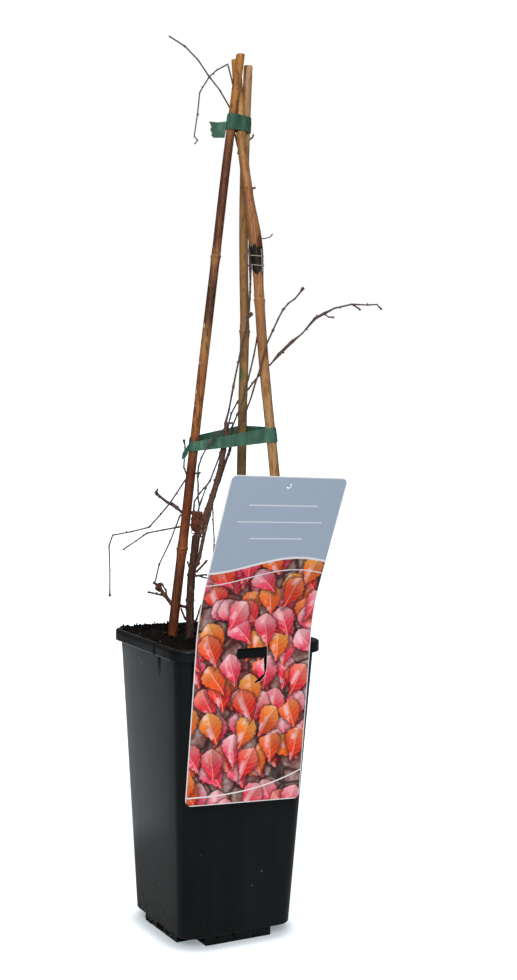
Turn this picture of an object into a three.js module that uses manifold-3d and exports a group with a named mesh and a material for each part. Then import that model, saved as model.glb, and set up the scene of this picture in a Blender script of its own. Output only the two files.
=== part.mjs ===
// A climbing vine in winter, in the deep square pot it is sold in.
// The leafless stems climb a tripod of three bamboo canes, held by two bands of green tape, and a
// picture card hooks over the pot's rim. Millimetres, +Z up, origin under the middle of the base.
import * as THREE from "three";
import { mergeVertices } from "three/addons/utils/BufferGeometryUtils.js";
import Module from "manifold-3d";

const wasm = await Module();
wasm.setup();

// Driving dimensions of the pot, sold as 11 x 11 x 21 cm.
const POT_HEIGHT = 208;
const RIM_SIDE = 114;
const RIM_CORNER = 15;
const SKIRT_HEIGHT = 7.5;
const SKIRT_WALL = 1.2;
const RIM_TOP_THICKNESS = 1.4;
const WALL_TOP_SIDE = 107;
const WALL_FOOT_SIDE = 86;
const WALL_CORNER = 12;
const WALL = 1.2;
const FOOT_SIDE = 80.6;
const FOOT_CORNER = 10;
const NOTCH_HEIGHT = 7;
const NOTCH_SIDE = 15;
const FLOOR = 1.5;
const DRAIN_RADIUS = 3.2;

// The compost, and the clearance that separate pieces keep from each other.
const CLEAR = 0.3;
const SOIL_LEVEL = 203.5;
const SOIL_HOLE_CLEAR = 0.4;

// Bamboo canes, sold as 60 cm long.
const CANE_BASE = 10;
const CANE_STEP = 22;

// Green tying tape.
const TAPE = 0.6;
const TAPE_CLEAR = 0.35;
const TAPE_WIDTH = 10.4;

// Picture card of stiff plastic. It hangs on the rim's skirt nearly upright, and is bent above the
// rim so that its top stands out from the pot. Heights on the card are measured up its own sheet,
// from where it lies on the skirt.
const CARD_WIDTH = 87.6;
const CARD_HEIGHT = 229.4;
const CARD_THICKNESS = 0.7;
const CARD_CORNER = 4.5;
const CARD_ROLL = THREE.MathUtils.degToRad(2.65);
const CARD_REST = { x: -0.7, y: -RIM_SIDE / 2 - 1.1, z: 201 };
const CARD_MIDDLE = 15.2;
const CARD_FOOT_LEAN = THREE.MathUtils.degToRad(1.7);
const CARD_TOP_LEAN = THREE.MathUtils.degToRad(20.8);
const CARD_BEND_START = 11;
const CARD_BEND_END = 49;
const TONGUE_LEFT = -14;
const TONGUE_RIGHT = 8;

// The plant's best side looks between two sides of the pot: routes of stems and canes are given
// as across (to the right), back (away) and up, seen from there.
const PLANT_TURN = THREE.MathUtils.degToRad(28.8);
const at = (across, back, up) =>
  new THREE.Vector3(
    across * Math.cos(PLANT_TURN) + back * Math.sin(PLANT_TURN),
    -across * Math.sin(PLANT_TURN) + back * Math.cos(PLANT_TURN),
    up,
  );

// A triangle soup or indexed geometry as a solid, and a solid as a geometry.
function solid(geometry) {
  const bare = geometry.clone();
  bare.deleteAttribute("normal");
  bare.deleteAttribute("uv");
  const merged = mergeVertices(bare, 1e-4);
  return new wasm.Manifold(
    new wasm.Mesh({
      numProp: 3,
      vertProperties: new Float32Array(merged.attributes.position.array),
      triVerts: new Uint32Array(merged.index.array),
    }),
  );
}

function geometryOf(body) {
  const mesh = body.getMesh();
  const geometry = new THREE.BufferGeometry();
  geometry.setAttribute("position", new THREE.BufferAttribute(new Float32Array(mesh.vertProperties), 3));
  geometry.setIndex(new THREE.BufferAttribute(new Uint32Array(mesh.triVerts), 1));
  geometry.computeVertexNormals();
  return geometry;
}

const joined = (bodies) => bodies.reduce((sum, body) => sum.add(body));

// The skin over a row of rings that all have the same number of points, counter-clockwise round
// the way the row runs. An open row is closed by a cap at each end, a loop runs back into itself.
function skin(rings, loop = false) {
  const count = rings[0].length;
  const points = rings.flat();
  const index = [];
  const last = loop ? rings.length : rings.length - 1;
  for (let i = 0; i < last; i++) {
    const low = i * count;
    const high = ((i + 1) % rings.length) * count;
    for (let j = 0; j < count; j++) {
      const k = (j + 1) % count;
      index.push(low + j, low + k, high + k, low + j, high + k, high + j);
    }
  }
  if (!loop) {
    const ends = [rings[0], rings[rings.length - 1]];
    ends.forEach((ring, end) => {
      const middle = ring.reduce((sum, p) => sum.add(p), new THREE.Vector3()).divideScalar(count);
      const first = end ? (rings.length - 1) * count : 0;
      const hub = points.push(middle) - 1;
      for (let j = 0; j < count; j++) {
        const k = (j + 1) % count;
        index.push(hub, first + (end ? j : k), first + (end ? k : j));
      }
    });
  }
  const geometry = new THREE.BufferGeometry().setFromPoints(points);
  geometry.setIndex(index);
  return geometry;
}

// A square ring with round corners at one height.
function squareRing(side, corner, z, arcSteps = 5) {
  const ring = [];
  const inset = side / 2 - corner;
  for (let quarter = 0; quarter < 4; quarter++) {
    const start = (quarter * Math.PI) / 2;
    const cx = inset * (quarter === 0 || quarter === 3 ? 1 : -1);
    const cy = inset * (quarter < 2 ? 1 : -1);
    for (let i = 0; i <= arcSteps; i++) {
      const angle = start + (i / arcSteps) * (Math.PI / 2);
      ring.push(new THREE.Vector3(cx + corner * Math.cos(angle), cy + corner * Math.sin(angle), z));
    }
  }
  return ring;
}

// A round tube along a curve through route points, each [across, back, up, radius].
function tube(route, sides = 6, step = 9) {
  const curve = new THREE.CatmullRomCurve3(route.map((p) => at(p[0], p[1], p[2])), false, "centripetal");
  const spans = route.length - 1;
  const rings = [];
  let normal = null;
  for (let i = 0; i < spans; i++) {
    const length = at(...route[i]).distanceTo(at(...route[i + 1]));
    const parts = Math.max(1, Math.round(length / step));
    for (let j = i === 0 ? 0 : 1; j <= parts; j++) {
      const f = j / parts;
      const u = (i + f) / spans;
      const centre = curve.getPoint(u);
      const along = curve.getTangent(u);
      const guess = normal || new THREE.Vector3(1, 0.3, 0.1);
      normal = guess.clone().addScaledVector(along, -guess.dot(along)).normalize();
      const side = along.clone().cross(normal);
      const radius = THREE.MathUtils.lerp(route[i][3], route[i + 1][3], f);
      const ring = [];
      for (let s = 0; s < sides; s++) {
        const angle = (s / sides) * 2 * Math.PI;
        ring.push(
          centre
            .clone()
            .addScaledVector(normal, radius * Math.cos(angle))
            .addScaledVector(side, radius * Math.sin(angle)),
        );
      }
      rings.push(ring);
    }
  }
  return solid(skin(rings));
}

const block = (x0, x1, y0, y1, z0, z1) => {
  const box = new THREE.BoxGeometry(x1 - x0, y1 - y0, z1 - z0);
  box.translate((x0 + x1) / 2, (y0 + y1) / 2, (z0 + z1) / 2);
  return solid(box);
};

// The same corner block at all four corners of the pot: grow widens it on the inner sides and top.
function cornerBlocks(grow) {
  const inner = FOOT_SIDE / 2 - NOTCH_SIDE - grow;
  const outer = WALL_TOP_SIDE / 2;
  const blocks = [];
  for (const x of [-1, 1]) {
    for (const y of [-1, 1]) {
      const xs = [x * inner, x * outer].sort((a, b) => a - b);
      const ys = [y * inner, y * outer].sort((a, b) => a - b);
      blocks.push(block(xs[0], xs[1], ys[0], ys[1], -5, NOTCH_HEIGHT + grow));
    }
  }
  return joined(blocks);
}

// Side of the pot's wall at a height, outside.
function wallSide(z) {
  const f = (z - NOTCH_HEIGHT) / (POT_HEIGHT - NOTCH_HEIGHT);
  return THREE.MathUtils.lerp(WALL_FOOT_SIDE, WALL_TOP_SIDE, f);
}

// The pot's hollow, made smaller all round by an allowance.
function hollow(less, top) {
  const rings = [];
  const side = (z) => wallSide(z) - 2 * (WALL + less);
  rings.push(squareRing(FOOT_SIDE - 2 * (WALL + less), FOOT_CORNER - WALL, FLOOR + less));
  rings.push(squareRing(FOOT_SIDE - 2 * (WALL + less), FOOT_CORNER - WALL, NOTCH_HEIGHT));
  rings.push(squareRing(side(NOTCH_HEIGHT + 2), WALL_CORNER - WALL, NOTCH_HEIGHT + 2));
  rings.push(squareRing(side(POT_HEIGHT / 2), WALL_CORNER - WALL, POT_HEIGHT / 2));
  rings.push(squareRing(side(top), WALL_CORNER - WALL, top));
  return rings;
}

function makePot() {
  const wallTop = POT_HEIGHT - RIM_TOP_THICKNESS;
  const skirtFoot = POT_HEIGHT - SKIRT_HEIGHT;
  const bead = 0.6;
  const outside = [
    squareRing(FOOT_SIDE, FOOT_CORNER, 0),
    squareRing(FOOT_SIDE + 1, FOOT_CORNER, NOTCH_HEIGHT - 1),
    squareRing(WALL_FOOT_SIDE, WALL_CORNER, NOTCH_HEIGHT),
    squareRing(wallSide(POT_HEIGHT / 2), WALL_CORNER, POT_HEIGHT / 2),
    squareRing(wallSide(wallTop), WALL_CORNER, wallTop),
    squareRing(RIM_SIDE - 2 * SKIRT_WALL, RIM_CORNER - SKIRT_WALL, wallTop),
    squareRing(RIM_SIDE - 2 * SKIRT_WALL, RIM_CORNER - SKIRT_WALL, skirtFoot),
    squareRing(RIM_SIDE, RIM_CORNER, skirtFoot),
    squareRing(RIM_SIDE, RIM_CORNER, POT_HEIGHT - bead),
    squareRing(RIM_SIDE - 2 * bead, RIM_CORNER - bead, POT_HEIGHT),
  ];
  let pot = solid(skin(outside));
  pot = pot.subtract(solid(skin(hollow(0, POT_HEIGHT + 1))).subtract(cornerBlocks(FLOOR)));
  pot = pot.subtract(cornerBlocks(0));
  const reach = FOOT_SIDE / 2 - NOTCH_SIDE / 2;
  for (const x of [-reach, reach]) {
    for (const y of [-reach, reach]) {
      const drain = new THREE.CylinderGeometry(DRAIN_RADIUS, DRAIN_RADIUS, 12, 10);
      drain.rotateX(Math.PI / 2);
      drain.translate(x, y, NOTCH_HEIGHT);
      pot = pot.subtract(solid(drain));
    }
  }
  return pot;
}

// Routes of the canes, which meet under the top band and reach the pot's floor. A node is a height,
// how far the cane swells there and how far along the cane the swelling reaches.
const CANES = {
  cane_left: {
    radius: [3.75, 3],
    nodes: [[267, 0.7, 6], [472, 0.45, 6]],
    route: [
      [-46, 14, CANE_BASE], [-41.5, 13, 90], [-31.5, 11, 203], [-21.4, 9, 301], [-11.5, 6.8, 400],
      [-4.1, 4.6, 470], [3, 0.5, 538], [7.4, -2.6, 575], [11.35, -3.6, 608.7],
    ],
  },
  cane_back: {
    radius: [3.75, 3.05],
    nodes: [[421, 0.6, 6], [224, 0.4, 6]],
    route: [
      [15.5, 46, CANE_BASE], [15.6, 47, 110], [15.8, 45, 203], [15.9, 33, 318], [16.2, 27.8, 372],
      [16.7, 23, 422], [15.6, 19, 460], [14.9, 14.5, 500], [15.4, 9, 556], [16.5, 8.4, 603.4],
    ],
  },
  cane_right: {
    radius: [3.9, 3.3],
    nodes: [[442, 0.4, 6], [484, 1.3, 34], [519, 0.4, 6], [291, 0.5, 6]],
    route: [
      [40.5, 2, CANE_BASE], [43.5, 3, 100], [50, 5, 203], [40, 2.5, 317], [31.1, 0.8, 394],
      [26.6, -0.5, 446], [24.9, -1, 470], [22.8, -1.1, 486], [18.6, -0.6, 511], [12.8, 1.7, 551],
      [10.8, 3.3, 575], [9.4, 4, 592], [8.2, 4.3, 606.5],
    ],
  },
};

function caneCurve(cane) {
  return new THREE.CatmullRomCurve3(cane.route.map((p) => at(...p)), false, "centripetal");
}

// Where a cane's middle is at a height.
function caneAt(cane, z) {
  const points = caneCurve(cane).getPoints(400);
  const above = points.findIndex((p) => p.z >= z);
  const i = above < 0 ? points.length - 1 : Math.max(above, 1);
  const share = (z - points[i - 1].z) / (points[i].z - points[i - 1].z);
  return points[i - 1].lerp(points[i], share);
}

function caneRadius(cane, z) {
  const top = cane.route[cane.route.length - 1][2];
  const taper = THREE.MathUtils.lerp(...cane.radius, (z - CANE_BASE) / (top - CANE_BASE));
  const swells = cane.nodes.map(([height, size, reach]) => size * (1 - Math.abs(z - height) / reach));
  return taper + Math.max(0, ...swells);
}

function makeCane(cane, extra = 0) {
  const top = cane.route[cane.route.length - 1][2];
  const heights = [];
  for (let z = CANE_BASE; z < top - 8; z += CANE_STEP) {
    if (cane.nodes.every(([height]) => Math.abs(z - height) > 9)) heights.push(z);
  }
  for (const [height, , reach] of cane.nodes) {
    for (const f of [-1, -0.25, 0, 0.25, 1]) heights.push(height + f * reach);
  }
  heights.push(top);
  heights.sort((a, b) => a - b);
  const sides = 8;
  const rings = heights.map((z) => {
    const centre = caneAt(cane, z);
    if (z === CANE_BASE) centre.z -= extra;
    const radius = caneRadius(cane, z) + extra;
    const ring = [];
    for (let s = 0; s < sides; s++) {
      const angle = (s / sides) * 2 * Math.PI;
      ring.push(new THREE.Vector3(radius * Math.cos(angle), radius * Math.sin(angle), 0).add(centre));
    }
    return ring;
  });
  return solid(skin(rings));
}

// A band of tape pulled tight round the three canes, from a low to a high edge. Both edges are
// functions of how far across the band is.
function makeBand(lowEdge, highEdge, level, directions = 40) {
  const canes = Object.values(CANES);
  const toPlant = (p) => ({
    across: p.x * Math.cos(PLANT_TURN) - p.y * Math.sin(PLANT_TURN),
    back: p.x * Math.sin(PLANT_TURN) + p.y * Math.cos(PLANT_TURN),
  });
  const circlesAt = (z) =>
    canes.map((cane) => ({ ...toPlant(caneAt(cane, z)), radius: caneRadius(cane, z) + TAPE_CLEAR }));
  const middle = circlesAt(level);
  const sections = [];
  for (let i = 0; i < directions; i++) {
    const angle = (i / directions) * 2 * Math.PI;
    const reach = (c) => c.across * Math.cos(angle) + c.back * Math.sin(angle) + c.radius;
    const held = middle.indexOf(middle.reduce((a, b) => (reach(b) > reach(a) ? b : a)));
    const corner = (z, out) => {
      const c = circlesAt(z)[held];
      const r = c.radius + out;
      return at(c.across + r * Math.cos(angle), c.back + r * Math.sin(angle), z);
    };
    const low = lowEdge(middle[held].across);
    const high = highEdge(middle[held].across);
    sections.push([corner(low, 0), corner(low, TAPE), corner(high, TAPE), corner(high, 0)].reverse());
  }
  return solid(skin(sections, true));
}

// A flat scrap of tape: its outline is across and up, and it stands at one depth.
function makeScrap(outline, back) {
  const shape = new THREE.Shape(outline.map(([across, up]) => new THREE.Vector2(across, up)));
  const scrap = new THREE.ExtrudeGeometry(shape, { depth: TAPE, bevelEnabled: false });
  scrap.rotateX(Math.PI / 2);
  scrap.translate(0, back + TAPE, 0);
  scrap.rotateZ(-PLANT_TURN);
  return solid(scrap);
}

function makeTopBand() {
  const level = 563;
  const slope = (across) => -0.08 * (across - 10);
  const half = TAPE_WIDTH / 2;
  const band = makeBand((s) => level - half + slope(s), (s) => level + half + slope(s), level);
  const tail = [
    [2.8, 564], [1.5, 563.6], [-4, 562.8], [-9.6, 563.1], [-8, 559.6], [-9, 558.1], [-7.6, 555.7],
    [-8.4, 554.5], [-6.6, 552.9], [1, 552.7], [1.8, 556.5],
  ];
  return band.add(makeScrap(tail, -0.3));
}

function makeMiddleBand() {
  const rise = (across) => 338.5 + 10.2 * THREE.MathUtils.clamp((across + 17) / 33, 0, 1);
  const half = (across) => THREE.MathUtils.clamp(3.6 + (across + 17) * 0.1, 3.6, TAPE_WIDTH / 2);
  const band = makeBand((s) => rise(s) - half(s), (s) => rise(s) + half(s), 344);
  const end = [[-21.5, 341], [-23, 338.4], [-25.4, 335], [-26.4, 329.6], [-23.2, 331.6], [-21.5, 334.6]];
  return band.add(makeScrap(end, 7.9));
}

// Stems of the vine, each point [across, back, up, radius]. They grow out of one rooted trunk.
const STEMS = {
  trunk: [
    [-19, 4, 150, 2.6], [-18.5, 3.5, 203, 2.7], [-18.7, 3, 231, 2.5], [-17.9, 3.5, 249, 2.4],
    [-16.3, 4, 263, 2.4], [-15, 5, 276, 2.7],
  ],
  climb: [
    [-15.4, 4.6, 272, 2.4], [-11.3, 6, 285, 2.4], [-7, 6.5, 295, 2.3], [-3.8, 7, 305, 2.2],
    [-0.9, 7, 315, 2.1], [1.7, 6.5, 326, 2], [3.4, 6.4, 337, 1.9], [4.6, 7, 347, 1.6], [5, 8.5, 357, 1],
  ],
  dark: [
    [-4.3, 7, 302, 1.2], [-3, 8, 306, 1.1], [0.6, 9.4, 315, 1], [4.2, 9.8, 327, 1],
    [7.7, 9, 337, 1], [9.4, 9, 347, 1.1],
  ],
  second: [
    [-17, 4, 252, 1.5], [-14, 3, 257, 1.5], [-12.4, 3, 262, 1.4], [-10.4, 4, 273, 1.3],
    [-8.8, 4.4, 281, 1.4], [-6.2, 5.4, 291, 1.3], [-4.2, 6.5, 300, 1.2],
  ],
  thin_left: [
    [-17.2, 4.6, 292, 0.8], [-16.6, 4.4, 301, 0.75], [-12.7, 4, 307, 0.75], [-9.2, 4, 311, 0.75],
    [-5.8, 4.2, 315.5, 1.2], [-3.1, 5, 323, 0.75], [-0.1, 5.6, 331, 0.75], [2.2, 6.4, 339, 0.75],
  ],
  bud_twig: [[-6.2, 4.2, 315, 0.7], [-8, 3.6, 312, 0.6], [-10.2, 3, 306, 0.6], [-12.6, 3, 299, 0.9]],
  pale: [
    [-14.4, 5, 290, 0.9], [-13, 4.4, 298, 0.8], [-14, 4, 303, 0.75], [-14, 4, 312, 0.75],
    [-14.6, 3.9, 319, 0.75], [-13.8, 2, 326, 0.75], [-11.4, -0.4, 333, 0.7], [-7.3, -1.8, 341, 0.7],
    [-1.4, -2.4, 348, 0.7], [3.4, -2.2, 352, 0.7], [6.6, 0.6, 355.8, 0.8], [9, 6, 356.5, 0.8],
  ],
  hanging: [
    [-4.4, 6.8, 303, 0.7], [-3.4, 5.6, 293, 0.6], [-3.2, 4.4, 286, 0.6], [-2.2, 3.4, 274, 0.6],
    [-2.6, 2.4, 262, 0.55],
  ],
  to_the_top: [
    [4.2, 7.4, 346, 1], [4.4, 8.6, 356, 1], [6.8, 10.4, 366, 0.9], [9.5, 12.5, 382, 1.3],
    [11.5, 14, 393, 0.8], [13.6, 15.4, 403, 0.9], [15, 15.6, 411, 1.2], [18.2, 14, 424, 0.85],
    [19.8, 11.4, 436, 0.85], [20, 8.5, 443, 1.4], [20.4, 5.6, 453, 0.9], [20.2, 3.8, 464, 1],
    [19.6, 3.6, 476, 1.1], [19.4, 5, 490, 0.9], [19.4, 5.5, 505, 0.8], [18.4, 5.2, 520, 0.8],
    [14.4, 5.6, 535, 0.8], [10, 7.8, 549, 0.8], [7.4, 9.4, 559, 0.75], [7.2, 9.4, 566, 0.75],
  ],
  long_right: [
    [5, 8, 347, 0.9], [6.6, 14, 356, 0.8], [8.3, 23, 363, 0.8], [12.3, 33.5, 371, 0.8],
    [19.8, 33.5, 380, 0.8], [25, 25, 387, 0.75], [30.2, 15, 393, 0.75], [35.5, 9.5, 398, 0.75],
    [41.3, 7, 405, 1.2], [49.3, 5, 413, 1.15], [57, 3, 419.5, 0.7], [65.7, 1, 430, 1.05],
    [71.8, 0, 433.4, 1], [79.3, -1, 437.3, 0.8], [90.8, -3, 440, 0.9], [101.8, -5, 439.6, 0.65],
    [107.9, -6, 440, 0.6], [111.2, -6.4, 436.6, 0.75],
  ],
  right_side_twig: [[71.8, 0, 433.4, 0.7], [75, -2, 431, 0.6], [78.6, -3, 430.8, 0.7]],
  right_end_twig: [[90.8, -3, 440, 0.6], [94, -1, 438.4, 0.6], [97, 0.5, 436.4, 0.7]],
  up_to_right_cane: [
    [5.6, 7, 347, 0.9], [9.7, 9.6, 355, 0.85], [12.9, 13, 363, 0.8], [15.6, 15.6, 370, 0.8],
    [17.6, 16.8, 378, 0.8], [19.8, 15, 387, 0.75], [21.4, 12.4, 394, 0.75], [23.6, 9.4, 404, 0.8],
    [25, 7.2, 412, 0.7], [26, 6, 419, 0.65],
  ],
  short_right: [
    [8.6, 8.4, 346, 0.9], [12.6, 7.4, 352, 0.9], [16.7, 5.6, 360, 0.85], [19.2, 4, 366, 0.8],
    [22, 0.6, 374, 0.8], [25.1, -3.6, 385, 0.9], [28, -5, 394, 0.8], [32.5, -4.8, 412, 0.8],
    [36.6, -4.6, 421.2, 1.3], [40, -4.4, 429, 0.75], [43.3, -4, 435.6, 1.3], [47, -3.5, 440, 0.75],
    [51.2, -3, 443, 0.8], [54.2, -2.4, 446.6, 0.75], [57, -2, 450.6, 1.3],
  ],
  top_twig: [
    [7.2, 9.3, 564.5, 0.75], [6.8, 9.4, 569.5, 0.75], [4.7, 9.8, 574, 0.75], [-2.8, 9.5, 586.5, 0.7],
    [-10.5, 10, 596, 1.05], [-18.5, 10.5, 607.5, 0.7], [-27.6, 11, 616.5, 1.05], [-38.6, 12, 623.4, 0.55],
  ],
  broken_twig: [
    [7.2, 9.1, 568, 0.65], [7.8, 10, 580, 0.65], [5.8, 9.6, 592, 0.7], [2.4, 7.4, 604, 0.75],
    [-4.9, 4.4, 599.4, 0.6], [-10.3, 2.4, 594, 0.85], [-16.4, 1, 583.4, 0.6], [-17.8, 0, 568, 0.6],
    [-19.8, -1, 553, 0.55], [-17.2, -1, 550.6, 0.5], [-19.4, -1, 548, 0.5],
  ],
  top_bud: [
    [12.4, 6.3, 541.5, 0.6], [10.2, 9, 543.5, 0.6], [10.6, 12.4, 546.5, 0.6], [13.4, 14.8, 550, 0.6],
    [17.6, 14, 553, 0.6],
    [20.4, 11, 555, 0.6], [20.8, 9.2, 556.3, 0.8],
  ],
  side_bud: [[18.6, 4.4, 519, 0.7], [21, 3, 518.6, 0.7], [22.6, 2.4, 519.4, 0.9]],
  tendril: [
    [19.5, 4.8, 488, 0.8], [24, 6.2, 484.6, 0.5], [29.4, 4.8, 484.8, 0.5], [33.2, 4, 485.6, 0.45],
    [35.2, 3.4, 487.6, 0.5],
  ],
  left_high: [
    [-14.4, 4, 318, 0.8], [-13.6, 9, 321, 0.75], [-16.6, 14.4, 320, 0.75], [-23.8, 14.6, 315, 0.75],
    [-34, 11, 299, 1.25], [-41, 8.5, 290.4, 0.7], [-48.4, 6, 282, 0.75], [-60.4, 3, 279, 0.65],
    [-73.4, 0.5, 276.6, 0.65], [-75.8, -0.8, 269, 0.65], [-75, -1, 252, 0.6], [-75, 0, 236.5, 0.65],
    [-75, 0, 233.8, 1.2],
  ],
  left_middle: [
    [-15, 6, 284, 1], [-16.6, 12.4, 284, 0.9], [-21.4, 15, 283, 0.85], [-28.4, 14.6, 281.6, 0.85],
    [-38.9, 12.6, 279.6, 0.75], [-50.1, 11, 277.3, 0.9], [-57.8, 10, 271.7, 0.65], [-66.8, 9, 265.6, 0.55],
  ],
  left_low: [
    [-23.5, 14.6, 292.5, 0.85], [-27, 13.8, 290, 0.8], [-29.7, 12, 282.6, 0.7], [-33.9, 9.4, 271, 0.65],
    [-41, 6, 255.6, 1.1], [-43.4, 5, 244, 0.55],
  ],
  left_spur: [
    [-15, 7, 290.5, 1], [-16.6, 12.6, 292, 1], [-20.8, 14.6, 292.6, 1], [-26.4, 14.6, 292.6, 0.95],
    [-29.6, 14.6, 295.6, 1.7], [-32.4, 14.8, 297.6, 1.3], [-36.4, 15, 299.2, 0.75],
    [-42.2, 15.6, 303.6, 0.7], [-44.8, 16, 306.2, 0.55], [-43, 16, 308.6, 0.5],
  ],
  low_spur: [
    [-18.7, 4, 226, 1.2], [-21.4, 10.4, 225, 1.1], [-25.6, 16.2, 225, 1.1], [-32.7, 15.6, 226.6, 1.2],
    [-36.8, 13.6, 232.6, 1.6], [-40.5, 12.4, 237.5, 0.9], [-44.8, 11.4, 242.6, 0.85],
  ],
  low_spur_tip: [[-37, 13.6, 232.4, 0.9], [-42.6, 12, 233.9, 0.75], [-48.9, 11, 235.3, 0.7]],
  low_spur_twig: [[-36.4, 13.4, 231.7, 0.8], [-36, 12, 236, 0.65], [-39.1, 11, 241.2, 0.6]],
  right_spur: [
    [-17, 3.6, 251, 1], [-14.2, 2.6, 251.6, 0.8], [-10.5, 1, 255.7, 0.75], [-7.4, 0, 259.4, 0.9],
  ],
  right_prong: [
    [-17.4, 3, 248, 0.9], [-14.2, 2, 248.6, 0.8], [-10, 0.6, 249.4, 0.65], [-6.9, 0, 249.7, 0.65],
  ],
  right_prong_low: [[-12.9, 1.4, 248.8, 0.65], [-10, -0.6, 248, 0.6], [-6.8, -2, 247.6, 0.6]],
  soil_spur: [[-17.6, 3, 214, 1], [-13.8, -0.6, 218, 0.7], [-12, -3, 224.4, 0.65], [-10.6, -4, 229, 0.6]],
  stub: [[-18.6, 3, 214.6, 1.2], [-22, 0.6, 218.4, 0.8], [-24.8, -0.6, 225.6, 0.75]],
  snag: [[-17.6, 4, 253, 1], [-19.6, 3, 254.6, 0.8], [-20.8, 2.4, 258.6, 0.75]],
  knob_twig: [
    [-21.8, 14.8, 316.8, 0.75], [-24.8, 14.6, 324, 0.7], [-24.4, 14, 333, 0.65], [-24, 13.4, 339, 0.65],
    [-24.9, 13, 343.6, 1.1],
  ],
};

// The pruned knuckle where the shoots leave the trunk, and two turns of tendril on the right cane.
function makeKnuckle() {
  const knuckle = new THREE.SphereGeometry(1, 9, 6);
  knuckle.scale(3.3, 3.4, 6.2);
  knuckle.rotateY(0.16);
  const lump = new THREE.SphereGeometry(1, 7, 5);
  lump.scale(2.4, 2.4, 2.6);
  const place = at(-15.2, 5.8, 285);
  const high = at(-13.4, 5.2, 290);
  knuckle.translate(place.x, place.y, place.z);
  lump.translate(high.x, high.y, high.z);
  return solid(knuckle).add(solid(lump));
}

function makeBinding() {
  const cane = CANES.cane_right;
  const thickness = 0.55;
  const turns = 3.2;
  const low = 462;
  const rise = 15;
  const count = 26;
  const route = [];
  for (let i = 0; i <= count; i++) {
    const z = low + (rise * i) / count;
    const centre = caneAt(cane, z);
    const angle = 2.4 + (i / count) * turns * 2 * Math.PI;
    const r = caneRadius(cane, z) + CLEAR + 2 * thickness;
    const across = centre.x * Math.cos(PLANT_TURN) - centre.y * Math.sin(PLANT_TURN) + r * Math.cos(angle);
    const back = centre.x * Math.sin(PLANT_TURN) + centre.y * Math.cos(PLANT_TURN) + r * Math.sin(angle);
    route.push([across, back, z, thickness]);
  }
  return tube(route, 5, 6);
}

function makeVine() {
  const stems = Object.values(STEMS).map((route) => tube(route, route[0][3] > 2 ? 8 : 6));
  return joined([...stems, makeKnuckle(), makeBinding()]);
}

// Soft lumps on the compost, the same everywhere they are asked for.
function soilHeight(x, y) {
  const lumps =
    1.1 * Math.sin(x * 0.31 + 1.3) * Math.cos(y * 0.27 - 0.4) +
    0.7 * Math.sin(x * 0.61 - y * 0.47 + 2.1) +
    0.5 * Math.cos(x * 0.93 + y * 0.71);
  const heapBackLeft = 3.4 * THREE.MathUtils.smoothstep(y - 0.5 * x, 20, 70);
  const dipFront = 1.6 * THREE.MathUtils.smoothstep(-y - 0.4 * x, 10, 60);
  return SOIL_LEVEL + lumps + heapBackLeft - dipFront;
}

function makeSoil() {
  const rings = hollow(CLEAR, SOIL_LEVEL - 7);
  const edge = rings[rings.length - 1];
  for (const f of [1, 0.9, 0.78, 0.64, 0.5, 0.36, 0.22, 0.1]) {
    const shoulder = f === 1 ? 3 : 0;
    rings.push(
      edge.map((p) => new THREE.Vector3(p.x * f, p.y * f, soilHeight(p.x * f, p.y * f) - shoulder)),
    );
  }
  let soil = solid(skin(rings)).subtract(cornerBlocks(FLOOR + CLEAR));
  for (const cane of Object.values(CANES)) soil = soil.subtract(makeCane(cane, SOIL_HOLE_CLEAR));
  const trunkHole = STEMS.trunk.map((p) => [p[0], p[1], p[2], p[3] + SOIL_HOLE_CLEAR]);
  trunkHole[0][2] -= 2;
  return soil.subtract(tube(trunkHole, 8));
}

// The front of the card's sheet at a height up it: straight, then an arc, then straight again.
function cardPoint(height) {
  const arcRadius = (CARD_BEND_END - CARD_BEND_START) / (CARD_TOP_LEAN - CARD_FOOT_LEAN);
  const below = Math.min(height, CARD_BEND_START);
  const inBend = THREE.MathUtils.clamp(height, CARD_BEND_START, CARD_BEND_END) - CARD_BEND_START;
  const above = Math.max(height - CARD_BEND_END, 0);
  const lean = CARD_FOOT_LEAN + inBend / arcRadius;
  const out =
    below * Math.sin(CARD_FOOT_LEAN) +
    arcRadius * (Math.cos(CARD_FOOT_LEAN) - Math.cos(lean)) +
    above * Math.sin(CARD_TOP_LEAN);
  const up =
    below * Math.cos(CARD_FOOT_LEAN) +
    arcRadius * (Math.sin(lean) - Math.sin(CARD_FOOT_LEAN)) +
    above * Math.cos(CARD_TOP_LEAN);
  return new THREE.Vector2(CARD_REST.y - out, CARD_REST.z + up);
}

// A sheet bent along its height: side view points [y, z] of its front, with its thickness behind.
function bentSheet(front, x0, x1) {
  const rear = front.map((p) => new THREE.Vector2(p.x + CARD_THICKNESS, p.y)).reverse();
  const sheet = new THREE.ExtrudeGeometry(new THREE.Shape([...front, ...rear]), {
    depth: x1 - x0,
    bevelEnabled: false,
  });
  sheet.rotateX(Math.PI / 2);
  sheet.rotateZ(Math.PI / 2);
  sheet.translate(x0, 0, 0);
  return solid(sheet);
}

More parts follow.
